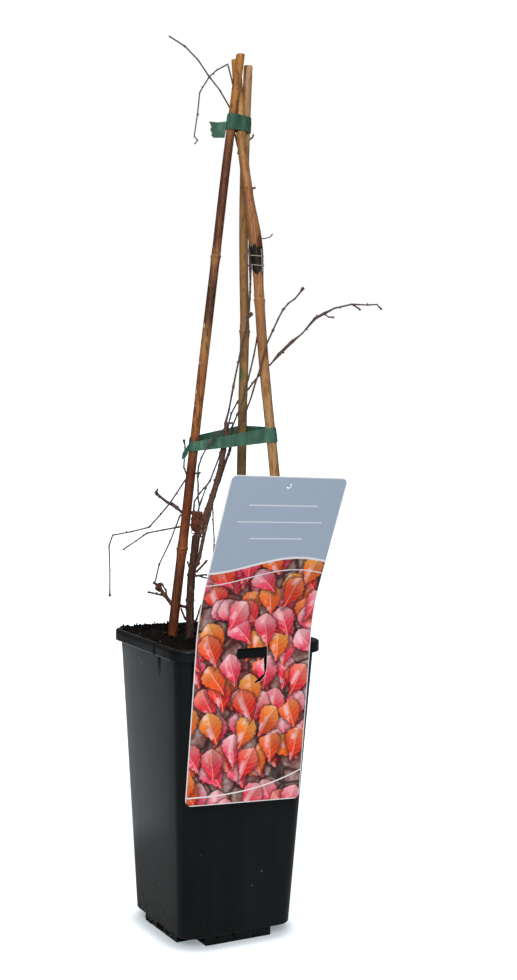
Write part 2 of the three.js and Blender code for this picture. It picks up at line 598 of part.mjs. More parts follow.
// The card's outline, turned by its roll and seen along Y, as a deep prism through the sheet.
function cardPrism() {
  const w = CARD_WIDTH / 2;
  const h = CARD_HEIGHT / 2;
  const sideSteps = 24;
  const arcSteps = 4;
  const flat = [];
  for (const [sx, sy] of [[1, -1], [1, 1], [-1, 1], [-1, -1]]) {
    const start = Math.atan2(sy, sx) - Math.PI / 4;
    for (let i = 0; i <= arcSteps; i++) {
      const angle = start + (i / arcSteps) * (Math.PI / 2);
      const cornerX = sx * (w - CARD_CORNER) + CARD_CORNER * Math.cos(angle);
      const cornerY = sy * (h - CARD_CORNER) + CARD_CORNER * Math.sin(angle);
      flat.push([cornerX, cornerY]);
    }
    if (sx === sy) continue;
    const straight = h - CARD_CORNER;
    for (let i = 1; i < sideSteps; i++) flat.push([sx * w, sx * straight * ((2 * i) / sideSteps - 1)]);
  }
  const seen = flat.map(([x, y]) => {
    const height = CARD_MIDDLE + y * Math.cos(CARD_ROLL) - x * Math.sin(CARD_ROLL);
    const across = CARD_REST.x + x * Math.cos(CARD_ROLL) + y * Math.sin(CARD_ROLL);
    return new THREE.Vector2(across, cardPoint(height).y);
  });
  const depth = 80;
  const prism = new THREE.ExtrudeGeometry(new THREE.Shape(seen), { depth, bevelEnabled: false });
  prism.rotateX(Math.PI / 2);
  prism.translate(0, CARD_REST.y + depth / 2, 0);
  return solid(prism);
}

function makeCard() {
  const heights = [-120, 0, CARD_BEND_START, 17, 23, 30, 37, 43, CARD_BEND_END, 150];
  const card = bentSheet(heights.map(cardPoint), -80, 80).intersect(cardPrism());
  // The window that the tongue is cut from, then the tongue, bent back to go up behind the skirt.
  const windowHole = block(TONGUE_LEFT, TONGUE_RIGHT + 1.2, CARD_REST.y - 5, CARD_REST.y + 5, 183, 207.6);
  const behindSkirt = -RIM_SIDE / 2 + SKIRT_WALL + 0.45;
  const root = cardPoint(-20);
  const tongue = [
    root, new THREE.Vector2(root.x + 0.1, root.y + 3), new THREE.Vector2(behindSkirt - 0.25, 195),
    new THREE.Vector2(behindSkirt, 199), new THREE.Vector2(behindSkirt, 205.4),
  ];
  return card.subtract(windowHole).add(bentSheet(tongue, TONGUE_LEFT + 0.4, TONGUE_RIGHT));
}

const group = new THREE.Group();

function place(name, body, color, roughness) {
  const material = new THREE.MeshStandardMaterial({ color, roughness, metalness: 0, flatShading: true });
  const mesh = new THREE.Mesh(geometryOf(body), material);
  mesh.name = name;
  group.add(mesh);
}

place("pot", makePot(), 0x2a2e30, 0.45);
place("soil", makeSoil(), 0x1c120d, 0.95);
place("cane_left", makeCane(CANES.cane_left), 0x8a4f2a, 0.5);
place("cane_back", makeCane(CANES.cane_back), 0x9a7d55, 0.5);
place("cane_right", makeCane(CANES.cane_right), 0xb07c48, 0.5);
place("vine", makeVine(), 0x4a352d, 0.8);
place("tie_top", makeTopBand(), 0x3f6b53, 0.4);
place("tie_middle", makeMiddleBand(), 0x446c5c, 0.4);
place("label", makeCard(), 0xd0787c, 0.35);

export default group;
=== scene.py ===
"""A climbing vine in winter, in the deep square pot that it is sold in.

The leafless stems climb a tripod of three bamboo canes, held by two bands of green tape. A picture
card hangs on the pot's rim. Sizes are millimetres where a name or comment doesn't say otherwise,
and MM turns them into the scene's metres.
"""

import math
import random

import bmesh
import bpy
import numpy as np
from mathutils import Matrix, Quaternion, Vector, noise


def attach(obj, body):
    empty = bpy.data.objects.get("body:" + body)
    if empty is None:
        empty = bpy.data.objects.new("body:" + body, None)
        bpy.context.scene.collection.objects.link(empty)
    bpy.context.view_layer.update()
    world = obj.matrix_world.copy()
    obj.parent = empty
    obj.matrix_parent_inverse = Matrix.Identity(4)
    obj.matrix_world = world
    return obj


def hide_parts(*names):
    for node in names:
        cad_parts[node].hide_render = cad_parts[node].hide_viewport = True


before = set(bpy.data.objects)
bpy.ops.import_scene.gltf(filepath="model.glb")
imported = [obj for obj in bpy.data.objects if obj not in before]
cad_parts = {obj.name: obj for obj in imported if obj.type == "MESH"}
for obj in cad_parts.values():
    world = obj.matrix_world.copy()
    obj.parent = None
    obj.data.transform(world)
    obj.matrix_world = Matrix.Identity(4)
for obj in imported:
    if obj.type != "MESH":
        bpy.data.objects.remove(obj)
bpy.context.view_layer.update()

# The studio: a wide white floor, a soft window above on the left, a faint wall of light close behind
# the pot, which its left side mirrors, and a dim room, which its right side mirrors. The camera
# stands where the photographer stood, a little above the rim. Lights and camera are in metres.
MM = 0.001
CAMERA_PLACE = Vector((-0.496165, -0.959645, 0.386951))
CAMERA_LOOK = Vector((0.481208, 0.873720, -0.071084))
CAMERA_ROLL = 0.01604
CAMERA_LENS = 56.85
CAMERA_SENSOR = 36
ROOM_LIGHT = 0.2
FLOOR_REACH = 30
# How far from the middle the floor's glow changes, from and to, and its strength there. The weak glow round
# the foot is a painted shadow of the pot.
FOOT_SHADOW = (42, 57, 0.3, 0.92)
FAR_GLOW = (100, 700, 0.0, 0.45)

bpy.context.scene.view_settings.view_transform = "Standard"

camera_data = bpy.data.cameras.new("camera")
camera_data.lens = CAMERA_LENS
camera_data.sensor_width = CAMERA_SENSOR
camera = bpy.data.objects.new("camera", camera_data)
camera.location = CAMERA_PLACE
camera.rotation_mode = "QUATERNION"
camera.rotation_quaternion = CAMERA_LOOK.to_track_quat("-Z", "Y") @ Quaternion((0, 0, 1), CAMERA_ROLL)
bpy.context.scene.collection.objects.link(camera)
bpy.context.scene.camera = camera


def softbox(name, place, aim, size, watts, colour=(1, 1, 1)):
    """A square soft light at a place, aimed at a point."""
    data = bpy.data.lights.new(name, "AREA")
    data.shape = "RECTANGLE"
    data.size, data.size_y = size
    data.energy = watts
    data.color = colour
    light = bpy.data.objects.new(name, data)
    light.location = place
    light.rotation_mode = "QUATERNION"
    light.rotation_quaternion = (Vector(aim) - Vector(place)).to_track_quat("-Z", "Y")
    light.visible_camera = False
    bpy.context.scene.collection.objects.link(light)


softbox("window", place=(-1.05, -1.75, 1.6), aim=(0, 0, 0.3), size=(1.3, 1.3), watts=57)
softbox(
    "wall", place=(-0.068, 0.2, 0.078), aim=(-0.068, 0, 0.078), size=(0.13, 0.17), watts=0.06,
    colour=(0.85, 0.95, 1),
)
softbox("back", place=(1.2, 1.3, 1.4), aim=(0, 0, 0.3), size=(1.2, 1.2), watts=7)


def paint(red, green, blue):
    """A colour as the eye sees it, 0 to 255, as a shader's linear colour."""
    seen = [c / 255 for c in (red, green, blue)]
    return [c / 12.92 if c < 0.04045 else ((c + 0.055) / 1.055) ** 2.4 for c in seen] + [1]


class Varying:
    """A number, place or colour that varies over a surface, so that sums are written out plainly."""

    def __init__(self, finish, socket):
        self.finish = finish
        self.socket = socket

    def __add__(self, other):
        return self.finish.math("ADD", self, other)

    def __sub__(self, other):
        return self.finish.math("SUBTRACT", self, other)

    def __mul__(self, other):
        return self.finish.math("MULTIPLY", self, other)

    def __abs__(self):
        return self.finish.math("ABSOLUTE", self)


class Finish:
    """A material being made. Its methods add shader nodes, wired to numbers or to other nodes."""

    def __init__(self, name, roughness=0.5):
        self.material = bpy.data.materials.new(name)
        self.material.use_nodes = True
        self.tree = self.material.node_tree
        self.shader = self.tree.nodes["Principled BSDF"]
        self.shader.inputs["Roughness"].default_value = roughness
        self.place = self.node("TexCoord", out="Object")

    def node(self, kind, inputs=None, out=0, **settings):
        made = self.tree.nodes.new("ShaderNode" + kind)
        for key, value in settings.items():
            setattr(made, key, value)
        for key, value in (inputs or {}).items():
            self.feed(made.inputs[key], value)
        return Varying(self, made.outputs[out])

    def feed(self, socket, value):
        if isinstance(value, Varying):
            self.tree.links.new(value.socket, socket)
        else:
            socket.default_value = value

    def look(self, name, value):
        self.feed(self.shader.inputs[name], value)

    def math(self, operation, *values):
        return self.node("Math", dict(enumerate(values)), operation=operation)

    def split(self, vector):
        """The three parts of a place."""
        made = self.node("SeparateXYZ", {0: vector}).socket.node
        return [Varying(self, output) for output in made.outputs]

    def stretched(self, scale, vector=None):
        """Coordinates scaled by a triple, so that what is drawn on them is stretched."""
        return self.node("VectorMath", {0: vector or self.place, 1: scale}, operation="MULTIPLY")

    def noise(self, scale, detail=3, vector=None, rough=0.55, distortion=0):
        inputs = {"Scale": scale, "Detail": detail, "Roughness": rough, "Distortion": distortion}
        return self.node("TexNoise", {"Vector": vector or self.place, **inputs})

    def between(self, value, low, high, to_low=0.0, to_high=1.0, way="SMOOTHSTEP"):
        """A value that runs from to_low to to_high as the given one runs from low to high."""
        inputs = {0: value, 1: low, 2: high, 3: to_low, 4: to_high}
        return self.node("MapRange", inputs, interpolation_type=way)

    def over(self, distance, low, high, *rest, **more):
        """The same as between, for a distance that runs from low to high in millimetres."""
        return self.between(distance, low * MM, high * MM, *rest, **more)

    def ramp(self, value, stops):
        """A colour for each value: stops are (position, colour as the eye sees it)."""
        made = self.node("ValToRGB", {0: value})
        elements = made.socket.node.color_ramp.elements
        while len(elements) < len(stops):
            elements.new(1)
        for element, (position, colour) in zip(elements, stops):
            element.position = position
            element.color = paint(*colour)
        return made

    def mix(self, share, low, high):
        return self.node("Mix", {0: share, 6: low, 7: high}, out=2, data_type="RGBA")

    def bump(self, height, distance, strength=1.0):
        inputs = {"Height": height, "Distance": distance, "Strength": strength}
        self.look("Normal", self.node("Bump", inputs))


world = bpy.data.worlds.new("room")
world.use_nodes = True
room = world.node_tree
seen_room = room.nodes["Background"]
seen_room.inputs["Color"].default_value = (1, 1, 1, 1)
dim_room = room.nodes.new("ShaderNodeBackground")
dim_room.inputs["Color"].default_value = (0.9, 0.95, 1, 1)
dim_room.inputs["Strength"].default_value = ROOM_LIGHT
either = room.nodes.new("ShaderNodeMixShader")
ray = room.nodes.new("ShaderNodeLightPath")
room.links.new(ray.outputs["Is Camera Ray"], either.inputs[0])
room.links.new(dim_room.outputs[0], either.inputs[1])
room.links.new(seen_room.outputs[0], either.inputs[2])
room.links.new(either.outputs[0], room.nodes["World Output"].inputs["Surface"])
bpy.context.scene.world = world

floor_finish = Finish("floor", 0.9)
floor_finish.look("Base Color", (0.5, 0.5, 0.5, 1))
floor_finish.look("Specular IOR Level", 0.0)
floor_finish.look("Emission Color", (0.84, 0.94, 1, 1))
seen = floor_finish.node("LightPath", out="Is Camera Ray")
away = floor_finish.node("VectorMath", {0: floor_finish.place}, out="Value", operation="LENGTH")
floor_x, floor_y, _ = floor_finish.split(floor_finish.place)
fourths = floor_finish.math("POWER", abs(floor_x), 4) + floor_finish.math("POWER", abs(floor_y), 4)
beside = floor_finish.math("POWER", fourths, 0.25)
# The floor glows less round the foot, which paints a bluish shadow of the pot there, and more far away.
glow = floor_finish.over(beside, *FOOT_SHADOW) + floor_finish.over(away, *FAR_GLOW)
floor_finish.look("Emission Strength", glow * seen)
floor_mesh = bpy.data.meshes.new("floor")
corners = [(x * FLOOR_REACH, y * FLOOR_REACH, 0) for x, y in ((-1, -1), (1, -1), (1, 1), (-1, 1))]
floor_mesh.from_pydata(corners, [], [(0, 1, 2, 3)])
floor_mesh.materials.append(floor_finish.material)
floor = bpy.data.objects.new("floor", floor_mesh)
bpy.context.scene.collection.objects.link(floor)

# The pot: black polypropylene, moulded in one piece. Its tapered walls end in a flat rim with a
# turned-down skirt, and its foot is cut back at the four corners, where the drain holes are. It is
# dusty and rain-spotted from the nursery bed.
POT_HEIGHT = 208
RIM_SIDE = 114
RIM_CORNER = 15
SKIRT_HEIGHT = 7.5
SKIRT_WALL = 1.2
RIM_TOP = 1.4
WALL_TOP_SIDE = 107
WALL_FOOT_SIDE = 86
WALL_CORNER = 12
WALL = 1.2
FOOT_SIDE = 80.6
NOTCH_HEIGHT = 7
NOTCH_SIDE = 15
FLOOR_INSIDE = 8.4
DRAIN_RADIUS = 3.2
DRAIN_DEPTH = 12
DRIP_ACROSS = 15
DRIP_EDGE = (3.4, 1.2)
DRIP_HEIGHTS = (176, 200)
DRIP_SIDE = (-45, -50)
SPLASH_HEIGHTS = (35, 4)
ARC_STEPS = 14
SIDE_STEPS = 6


def four_sides(corner_and_side, z):
    """A level ring from the points of one corner and of the side after it."""
    points = []
    for quarter in range(4):
        turn = quarter * math.pi / 2
        cos, sin = math.cos(turn), math.sin(turn)
        points += [(x * cos - y * sin, x * sin + y * cos, z) for x, y in corner_and_side]
    return np.array(points) * MM


def square_ring(side, corner, z, side_steps=SIDE_STEPS):
    """A level square ring with round corners, anticlockwise from the +X side."""
    inset = side / 2 - corner
    angles = [i / ARC_STEPS * math.pi / 2 for i in range(ARC_STEPS + 1)]
    flat = [(inset + corner * math.cos(angle), inset + corner * math.sin(angle)) for angle in angles]
    flat += [(inset - 2 * inset * i / side_steps, inset + corner) for i in range(1, side_steps)]
    return four_sides(flat, z)


def notched_ring(side, z):
    """A level square ring whose corners are cut back square, with as many points as a round one."""
    half = side / 2
    steps = [2 * i / ARC_STEPS for i in range(ARC_STEPS + 1)]
    flat = [(half - NOTCH_SIDE * min(step, 1), half - NOTCH_SIDE * min(2 - step, 1)) for step in steps]
    flat += [((half - NOTCH_SIDE) * (1 - 2 * i / SIDE_STEPS), half) for i in range(1, SIDE_STEPS)]
    return four_sides(flat, z)


def skin(rings, looped=False):
    """Points and faces of the skin over a row of rings, capped at both ends or run back to its start."""
    count = len(rings[0])
    faces = []
    for i in range(len(rings) if looped else len(rings) - 1):
        low, high = i * count, (i + 1) % len(rings) * count
        for j in range(count):
            k = (j + 1) % count
            faces.append((low + j, low + k, high + k, high + j))
    if not looped:
        faces.append(tuple(range(count))[::-1])
        faces.append(tuple(range((len(rings) - 1) * count, len(rings) * count)))
    return np.concatenate(rings), faces


def piece(name, skins, finish, sharp=38):
    """One mesh object from several skins, smooth but for its sharp edges, riding on the root."""
    points, faces, start = [], [], 0
    for these, their_faces in skins:
        points.append(these)
        faces += [tuple(v + start for v in face) for face in their_faces]
        start += len(these)
    mesh = bpy.data.meshes.new(name)
    mesh.from_pydata(np.concatenate(points).tolist(), [], faces)
    mesh.materials.append(finish.material)
    mesh.polygons.foreach_set("use_smooth", [True] * len(mesh.polygons))
    mesh.set_sharp_from_angle(angle=math.radians(sharp))
    made = bpy.data.objects.new(name, mesh)
    bpy.context.scene.collection.objects.link(made)
    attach(made, "root")
    return made


def wall_side(z):
    """The pot's outer side at a height, straight from foot to rim."""
    share = (z - NOTCH_HEIGHT) / (POT_HEIGHT - NOTCH_HEIGHT)
    return WALL_FOOT_SIDE + (WALL_TOP_SIDE - WALL_FOOT_SIDE) * share


plastic = Finish("pot_plastic")
dust = plastic.noise(14, detail=6, vector=plastic.stretched((1, 1, 0.35)))
streaks = plastic.noise(1, detail=4, vector=plastic.stretched((170, 170, 7)))
grain = plastic.noise(900, detail=2)
film = plastic.between(dust + streaks * 0.35, 0.55, 0.95)
body = plastic.mix(film, paint(5, 9, 12), paint(17, 23, 27))
specks = plastic.node("TexVoronoi", {"Vector": plastic.place, "Scale": 160})
rare = plastic.between(plastic.noise(70), 0.6, 0.66)
body = plastic.mix(plastic.between(specks, 0.16, 0.1) * rare, body, paint(92, 88, 82))
plastic_x, plastic_y, plastic_z = plastic.split(plastic.place)
drip_side = abs(plastic_y + (dust * 0.008 + DRIP_ACROSS * MM))
drip = plastic.over(drip_side, *DRIP_EDGE) * plastic.over(plastic_z, *DRIP_HEIGHTS)
drip = drip * plastic.over(plastic_x, *DRIP_SIDE)
body = plastic.mix(drip * 0.8, body, paint(6, 6, 5))
ledge = plastic.over(plastic_z, POT_HEIGHT - 1.1, POT_HEIGHT - 0.2)
ledge = ledge * plastic.between(plastic.noise(120, 5), 0.34, 0.5, 0.55, 1)
splash = plastic.over(plastic_z, *SPLASH_HEIGHTS) * plastic.between(plastic.noise(420, 5), 0.5, 0.62)
dirt = plastic.math("MAXIMUM", ledge, splash * 0.6)
plastic.look("Base Color", plastic.mix(dirt, body, paint(20, 15, 12)))
shine = plastic.between(dust, 0.3, 0.75, 0.2, 0.34)
plastic.look("Roughness", shine + (dirt + drip) * 0.5)
plastic.look("Specular IOR Level", 0.22)
plastic.bump(grain + streaks * 1.5, 0.00008, 0.5)

wall_top = POT_HEIGHT - RIM_TOP
skirt_foot = POT_HEIGHT - SKIRT_HEIGHT
skirt_inside = RIM_SIDE - 2 * SKIRT_WALL
inside = WALL_TOP_SIDE - 2 * WALL
foot_profile = [(FOOT_SIDE - 2, 0), (FOOT_SIDE - 0.5, 0.3), (FOOT_SIDE, 1), (FOOT_SIDE, NOTCH_HEIGHT - 0.2)]
pot_rings = [notched_ring(side, z) for side, z in foot_profile]
pot_rings.append(square_ring(WALL_FOOT_SIDE - 1.2, WALL_CORNER - 0.6, NOTCH_HEIGHT))
for z in (NOTCH_HEIGHT + 0.7, 12, 30, 60, 90, 120, 150, 175, 195, wall_top):
    pot_rings.append(square_ring(wall_side(z), WALL_CORNER, z))
rim_profile = [
    (skirt_inside, wall_top), (skirt_inside, skirt_foot + 0.3), (skirt_inside + 0.4, skirt_foot),
    (RIM_SIDE - 0.5, skirt_foot), (RIM_SIDE, skirt_foot + 0.4), (RIM_SIDE - 0.1, POT_HEIGHT - 3),
    (RIM_SIDE - 0.2, POT_HEIGHT - 0.9), (RIM_SIDE - 0.9, POT_HEIGHT - 0.25), (RIM_SIDE - 2, POT_HEIGHT),
    (inside + 1.6, POT_HEIGHT), (inside + 0.5, POT_HEIGHT - 0.3), (inside, POT_HEIGHT - 1.2),
]
for side, z in rim_profile:
    corner = RIM_CORNER - (RIM_SIDE - side) / 2 if side > WALL_TOP_SIDE else WALL_CORNER - WALL
    pot_rings.append(square_ring(side, corner, z))
for z in (190, 120, 60, NOTCH_HEIGHT + 3, FLOOR_INSIDE):
    pot_rings.append(square_ring(wall_side(z) - 2 * WALL, WALL_CORNER - WALL, z))
pot = piece("pot_shell", [skin(pot_rings)], plastic, sharp=30)

# The drain holes are moulded through the ledge over each cut-back corner.
drain = bmesh.new()
ledge_middle = FOOT_SIDE / 2 - NOTCH_SIDE / 2
drill = {"radius1": DRAIN_RADIUS * MM, "radius2": DRAIN_RADIUS * MM, "depth": DRAIN_DEPTH * MM}
for x, y in ((-1, -1), (-1, 1), (1, -1), (1, 1)):
    made = bmesh.ops.create_cone(drain, cap_ends=True, segments=24, **drill)["verts"]
    place = Vector((x * ledge_middle, y * ledge_middle, NOTCH_HEIGHT)) * MM
    bmesh.ops.translate(drain, verts=made, vec=place)
drain_mesh = bpy.data.meshes.new("drain_cutter")
drain.to_mesh(drain_mesh)
drain.free()
cutter = bpy.data.objects.new("drain_cutter", drain_mesh)
bpy.context.scene.collection.objects.link(cutter)
holes = pot.modifiers.new("drain_holes", "BOOLEAN")
holes.object = cutter
holes.operation = "DIFFERENCE"
shaped = pot.evaluated_get(bpy.context.evaluated_depsgraph_get())
pot.data = bpy.data.meshes.new_from_object(shaped)
pot.modifiers.clear()
bpy.data.objects.remove(cutter)
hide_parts("pot")

# The compost: dark damp peat with crumbs, bark bits and a few pale grains, heaped at the back left
# corner where it was filled in. It reaches the pot's floor.
SOIL_LEVEL = 203.5
SOIL_CLEAR = 0.3
SOIL_RINGS = 70
SOIL_SIDE_STEPS = 40
CHALK = 0.955
CRUMBS = 1500
BIG_SHARE = 0.16
NEEDLE_SHARE = 0.12
SPILT_CRUMBS = 240
FOOT_CRUMBS = 260
random.seed(11)


def soil_height(x, y):
    """The compost's height at a place, in millimetres, with the same soft lumps everywhere."""
    lumps = 1.1 * math.sin(x * 0.31 + 1.3) * math.cos(y * 0.27 - 0.4)
    lumps += 0.7 * math.sin(x * 0.61 - y * 0.47 + 2.1)
    lumps += 0.5 * math.cos(x * 0.93 + y * 0.71)
    ramp = min(max((y - 0.5 * x - 20) / 50, 0), 1)
    heap = 3.4 * ramp * ramp * (3 - 2 * ramp)
    ramp = min(max((-y - 0.4 * x - 10) / 50, 0), 1)
    dip = 1.6 * ramp * ramp * (3 - 2 * ramp)
    fine = noise.fractal(Vector((x, y, 3)) * 0.35, 0.9, 2.1, 5) * 0.7
    return SOIL_LEVEL + lumps + heap - dip + fine


peat = Finish("compost", 0.92)
clods = peat.noise(260, detail=5, rough=0.7)
tone = peat.node("Attribute", {}, out="Fac", attribute_name="tone")
dark = peat.ramp(clods, [(0.3, (4, 2, 2)), (0.5, (11, 7, 4)), (0.72, (27, 15, 9))])
pale = peat.ramp(tone, [(0, (0, 0, 0)), (0.95, (0, 0, 0)), (0.97, (160, 140, 118))])
peat.look("Base Color", peat.mix(peat.between(tone, CHALK, CHALK + 0.01), dark, pale))
peat.look("Specular IOR Level", 0.15)
peat.bump(peat.noise(700, detail=4), 0.0009)

soil_side = wall_side(SOIL_LEVEL) - 2 * (WALL + SOIL_CLEAR)
soil_rings = []
for z in (FLOOR_INSIDE + 1, NOTCH_HEIGHT + 4, 100, SOIL_LEVEL - 7):
    side = wall_side(z) - 2 * (WALL + SOIL_CLEAR)
    soil_rings.append(square_ring(side, WALL_CORNER - WALL, z, SOIL_SIDE_STEPS))
edge = square_ring(soil_side, WALL_CORNER - WALL, 0, SOIL_SIDE_STEPS)
for i in range(SOIL_RINGS + 1):
    shoulder = 2 * max(0, 1 - i / 2)
    ring = edge * (1 - 0.985 * i / SOIL_RINGS)
    ring[:, 2] = [(soil_height(x / MM, y / MM) - shoulder) * MM for x, y in ring[:, :2]]
    soil_rings.append(ring)
soil = piece("compost_bed", [skin(soil_rings)], peat, sharp=180)
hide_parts("soil")


def crumb(place, size, detail):
    """Points and faces of one rough grain, stretched and turned at random."""
    lump = bmesh.new()
    bmesh.ops.create_icosphere(lump, subdivisions=detail, radius=1)
    turn = Quaternion((random.gauss(0, 1), random.gauss(0, 1), random.gauss(0, 1), random.gauss(0, 1)))
    turn.normalize()
    shift = Vector((random.random(), random.random(), random.random())) * 50
    points = []
    for v in lump.verts:
        rough = 1 + 0.45 * noise.noise(v.co * 1.4 + shift)
        p = Vector((v.co.x * size[0], v.co.y * size[1], v.co.z * size[2])) * rough
        points.append((turn @ p + place) * MM)
    faces = [tuple(v.index for v in face.verts) for face in lump.faces]
    lump.free()
    return np.array(points), faces


crumbs, tones = [], []


def add_crumb(x, y, up, size, palest, detail=1):
    """One more grain, with a random tone up to the palest. Above CHALK it is chalk, and else peat."""
    made = crumb(Vector((x, y, up)), size, detail)
    crumbs.append(made)
    tones.extend([random.random() * palest] * len(made[0]))


across = soil_side / 2 - 1.5
for i in range(CRUMBS):
    x, y = random.uniform(-across, across), random.uniform(-across, across)
    if abs(x) > across - 9 and abs(y) > across - 9:
        continue
    big = random.random() < BIG_SHARE
    needle = random.random() < NEEDLE_SHARE
    r = random.uniform(0.8, 1.9) if big else random.uniform(0.3, 0.9)
    size = (r, r * random.uniform(0.6, 1), r * random.uniform(0.4, 0.8))
    if needle:
        size = (r * 3, r * 0.35, r * 0.3)
    add_crumb(x, y, soil_height(x, y) + 0.25 * r, size, CHALK if r > 1.2 else 1, 2 if big else 1)

# Some of it was spilt over the back of the rim, and some clings to the foot.
for i in range(SPILT_CRUMBS):
    x, y = random.uniform(-50, -8), random.uniform(41, 55)
    on_rim = y > inside / 2 - 0.5
    r = random.uniform(0.4, 1.2)
    up = POT_HEIGHT + 0.2 * r
    if not on_rim:
        up = SOIL_LEVEL + 2.6 + 0.3 * (y - 41) + random.uniform(-0.6, 1.4)
    needle = i % 5 == 0 and not on_rim
    size = (r * 2.6, r * 0.3, r * 0.3) if needle else (r, r * 0.8, r * random.uniform(0.4, 0.9))
    add_crumb(x, y, up, size, 0.96)
foot_half = FOOT_SIDE / 2 - NOTCH_SIDE
for i in range(FOOT_CRUMBS):
    r = random.uniform(0.35, 1.1)
    along, out = random.uniform(-1, 1) * foot_half, FOOT_SIDE / 2 + 0.2 * r
    if i % 3 == 0:
        along, out = foot_half + random.uniform(0, NOTCH_SIDE), foot_half + 0.2 * r
    turn = random.randrange(4) * math.pi / 2
    along *= random.choice((-1, 1))
    x, y = along * math.cos(turn) - out * math.sin(turn), along * math.sin(turn) + out * math.cos(turn)
    up = 1.5 * r + 4 * random.random() ** 2
    add_crumb(x, y, up, (r, r * 0.8, r * random.uniform(0.4, 0.9)), 0.95)
loose = piece("compost_crumbs", crumbs, peat, sharp=180)
loose.data.attributes.new("tone", "FLOAT", "POINT").data.foreach_set("value", tones)

# The canes: three bamboo rods pushed into the compost and tied together at the top. Each has its
# own colour, from straw to red-brown, with raised nodes, and is cut square at the top, where the
# hollow shows.
PLANT_TURN = math.radians(28.8)
CANE_BASE = 10
CANE_SIDES = 44
CANE_SEEN = (200, 612)
NODE_RIDGE = 0.3
# A node is (height, swelling, reach), a crease goes from one (height, angle) to another and has a
# depth, and a route's points are (across, back, up) as the camera sees the plant.
CANES = {
    "cane_left": {
        "radius": (3.75, 3),
        "nodes": [(267, 0.7, 6), (472, 0.45, 6)],
        "creases": [],
        "route": [
            (-46, 14, CANE_BASE), (-41.5, 13, 90), (-31.5, 11, 203), (-21.4, 9, 301), (-11.5, 6.8, 400),
            (-4.1, 4.6, 470), (3, 0.5, 538), (7.4, -2.6, 575), (11.35, -3.6, 608.7),
        ],
    },
    "cane_back": {
        "radius": (3.75, 3.05),
        "nodes": [(421, 0.6, 6), (224, 0.4, 6)],
        "creases": [((500, 262), (585, 290), 0.35)],
        "route": [
            (15.5, 46, CANE_BASE), (15.6, 47, 110), (15.8, 45, 203), (15.9, 33, 318), (16.2, 27.8, 372),
            (16.7, 23, 422), (15.6, 19, 460), (14.9, 14.5, 500), (15.4, 9, 556), (16.5, 8.4, 603.4),
        ],
    },
    "cane_right": {
        "radius": (3.9, 3.3),
        "nodes": [(442, 0.4, 6), (484, 1.3, 34), (519, 0.4, 6), (291, 0.5, 6)],
        "creases": [((472, 243), (511, 278), 0.6), ((468, 292), (500, 300), 0.35)],
        "route": [
            (40.5, 2, CANE_BASE), (43.5, 3, 100), (50, 5, 203), (40, 2.5, 317), (31.1, 0.8, 394),
            (26.6, -0.5, 446), (24.9, -1, 470), (22.8, -1.1, 486), (18.6, -0.6, 511), (12.8, 1.7, 551),
            (10.8, 3.3, 575), (9.4, 4, 592), (8.2, 4.3, 606.5),
        ],
    },
}


def at(across, back, up):
    """A place in millimetres across, behind and above the base, as the camera sees the plant."""
    x = across * math.cos(PLANT_TURN) + back * math.sin(PLANT_TURN)
    y = -across * math.sin(PLANT_TURN) + back * math.cos(PLANT_TURN)
    return np.array((x, y, up))


def smooth_route(points, step):
    """A smooth line through points: places, and how far along the list of points each one is."""
    points = np.array(points, float)
    ends = [2 * points[0] - points[1], *points, 2 * points[-1] - points[-2]]
    places, shares = [], []
    for i in range(len(points) - 1):
        p0, p1, p2, p3 = ends[i : i + 4]
        t0, t1, t2 = (max(np.linalg.norm(b - a), 1e-4) ** 0.5 for a, b in ((p0, p1), (p1, p2), (p2, p3)))
        m1 = ((p1 - p0) / t0 - (p2 - p0) / (t0 + t1) + (p2 - p1) / t1) * t1
        m2 = ((p2 - p1) / t1 - (p3 - p1) / (t1 + t2) + (p3 - p2) / t2) * t1
        parts = max(1, round(np.linalg.norm(p2 - p1) / step))
        for j in range(0 if i == 0 else 1, parts + 1):
            u = j / parts
            bend = (-3 * p1 + 3 * p2 - 2 * m1 - m2) * u**2 + (2 * p1 - 2 * p2 + m1 + m2) * u**3
            places.append(p1 + m1 * u + bend)
            shares.append(i + u)
    return np.array(places), np.array(shares)


for cane in CANES.values():
    cane["line"] = smooth_route([at(*p) for p in cane["route"]], 1.0)[0]


def cane_at(cane, z):
    """The middle of a cane at a height."""
    line = cane["line"]
    return np.array([np.interp(z, line[:, 2], line[:, k]) for k in range(3)])


def cane_radius(cane, z):
    top = cane["route"][-1][2]
    foot_radius, top_radius = cane["radius"]
    taper = foot_radius + (top_radius - foot_radius) * (z - CANE_BASE) / (top - CANE_BASE)
    swell = 0
    for height, size, far in cane["nodes"]:
        near = max(0, 1 - abs(z - height) / far)
        swell = max(swell, size * near * near * (3 - 2 * near) if far > 10 else size * near)
    return taper + swell


def ring_round(place, first, second, radius, sides):
    """Points round a place, in the plane of two directions that are square to each other."""
    angles = [s / sides * 2 * math.pi for s in range(sides)]
    return [place + (first * math.cos(angle) + second * math.sin(angle)) * radius for angle in angles]


def stub_skin(place, lean, radius, length, sides=16):
    """A side shoot that was cut off short."""
    lean = Vector(lean).normalized()
    first = lean.orthogonal().normalized()
    second = lean.cross(first)
    rings = []
    for along, width in ((-0.6, 1.3), (0.1, 1.1), (0.6, 1), (0.95, 0.98), (1, 0.85), (0.9, 0.5)):
        middle = Vector(place) + lean * along * length
        rings.append(np.array(ring_round(middle, first, second, width * radius, sides)) * MM)
    return skin(rings)


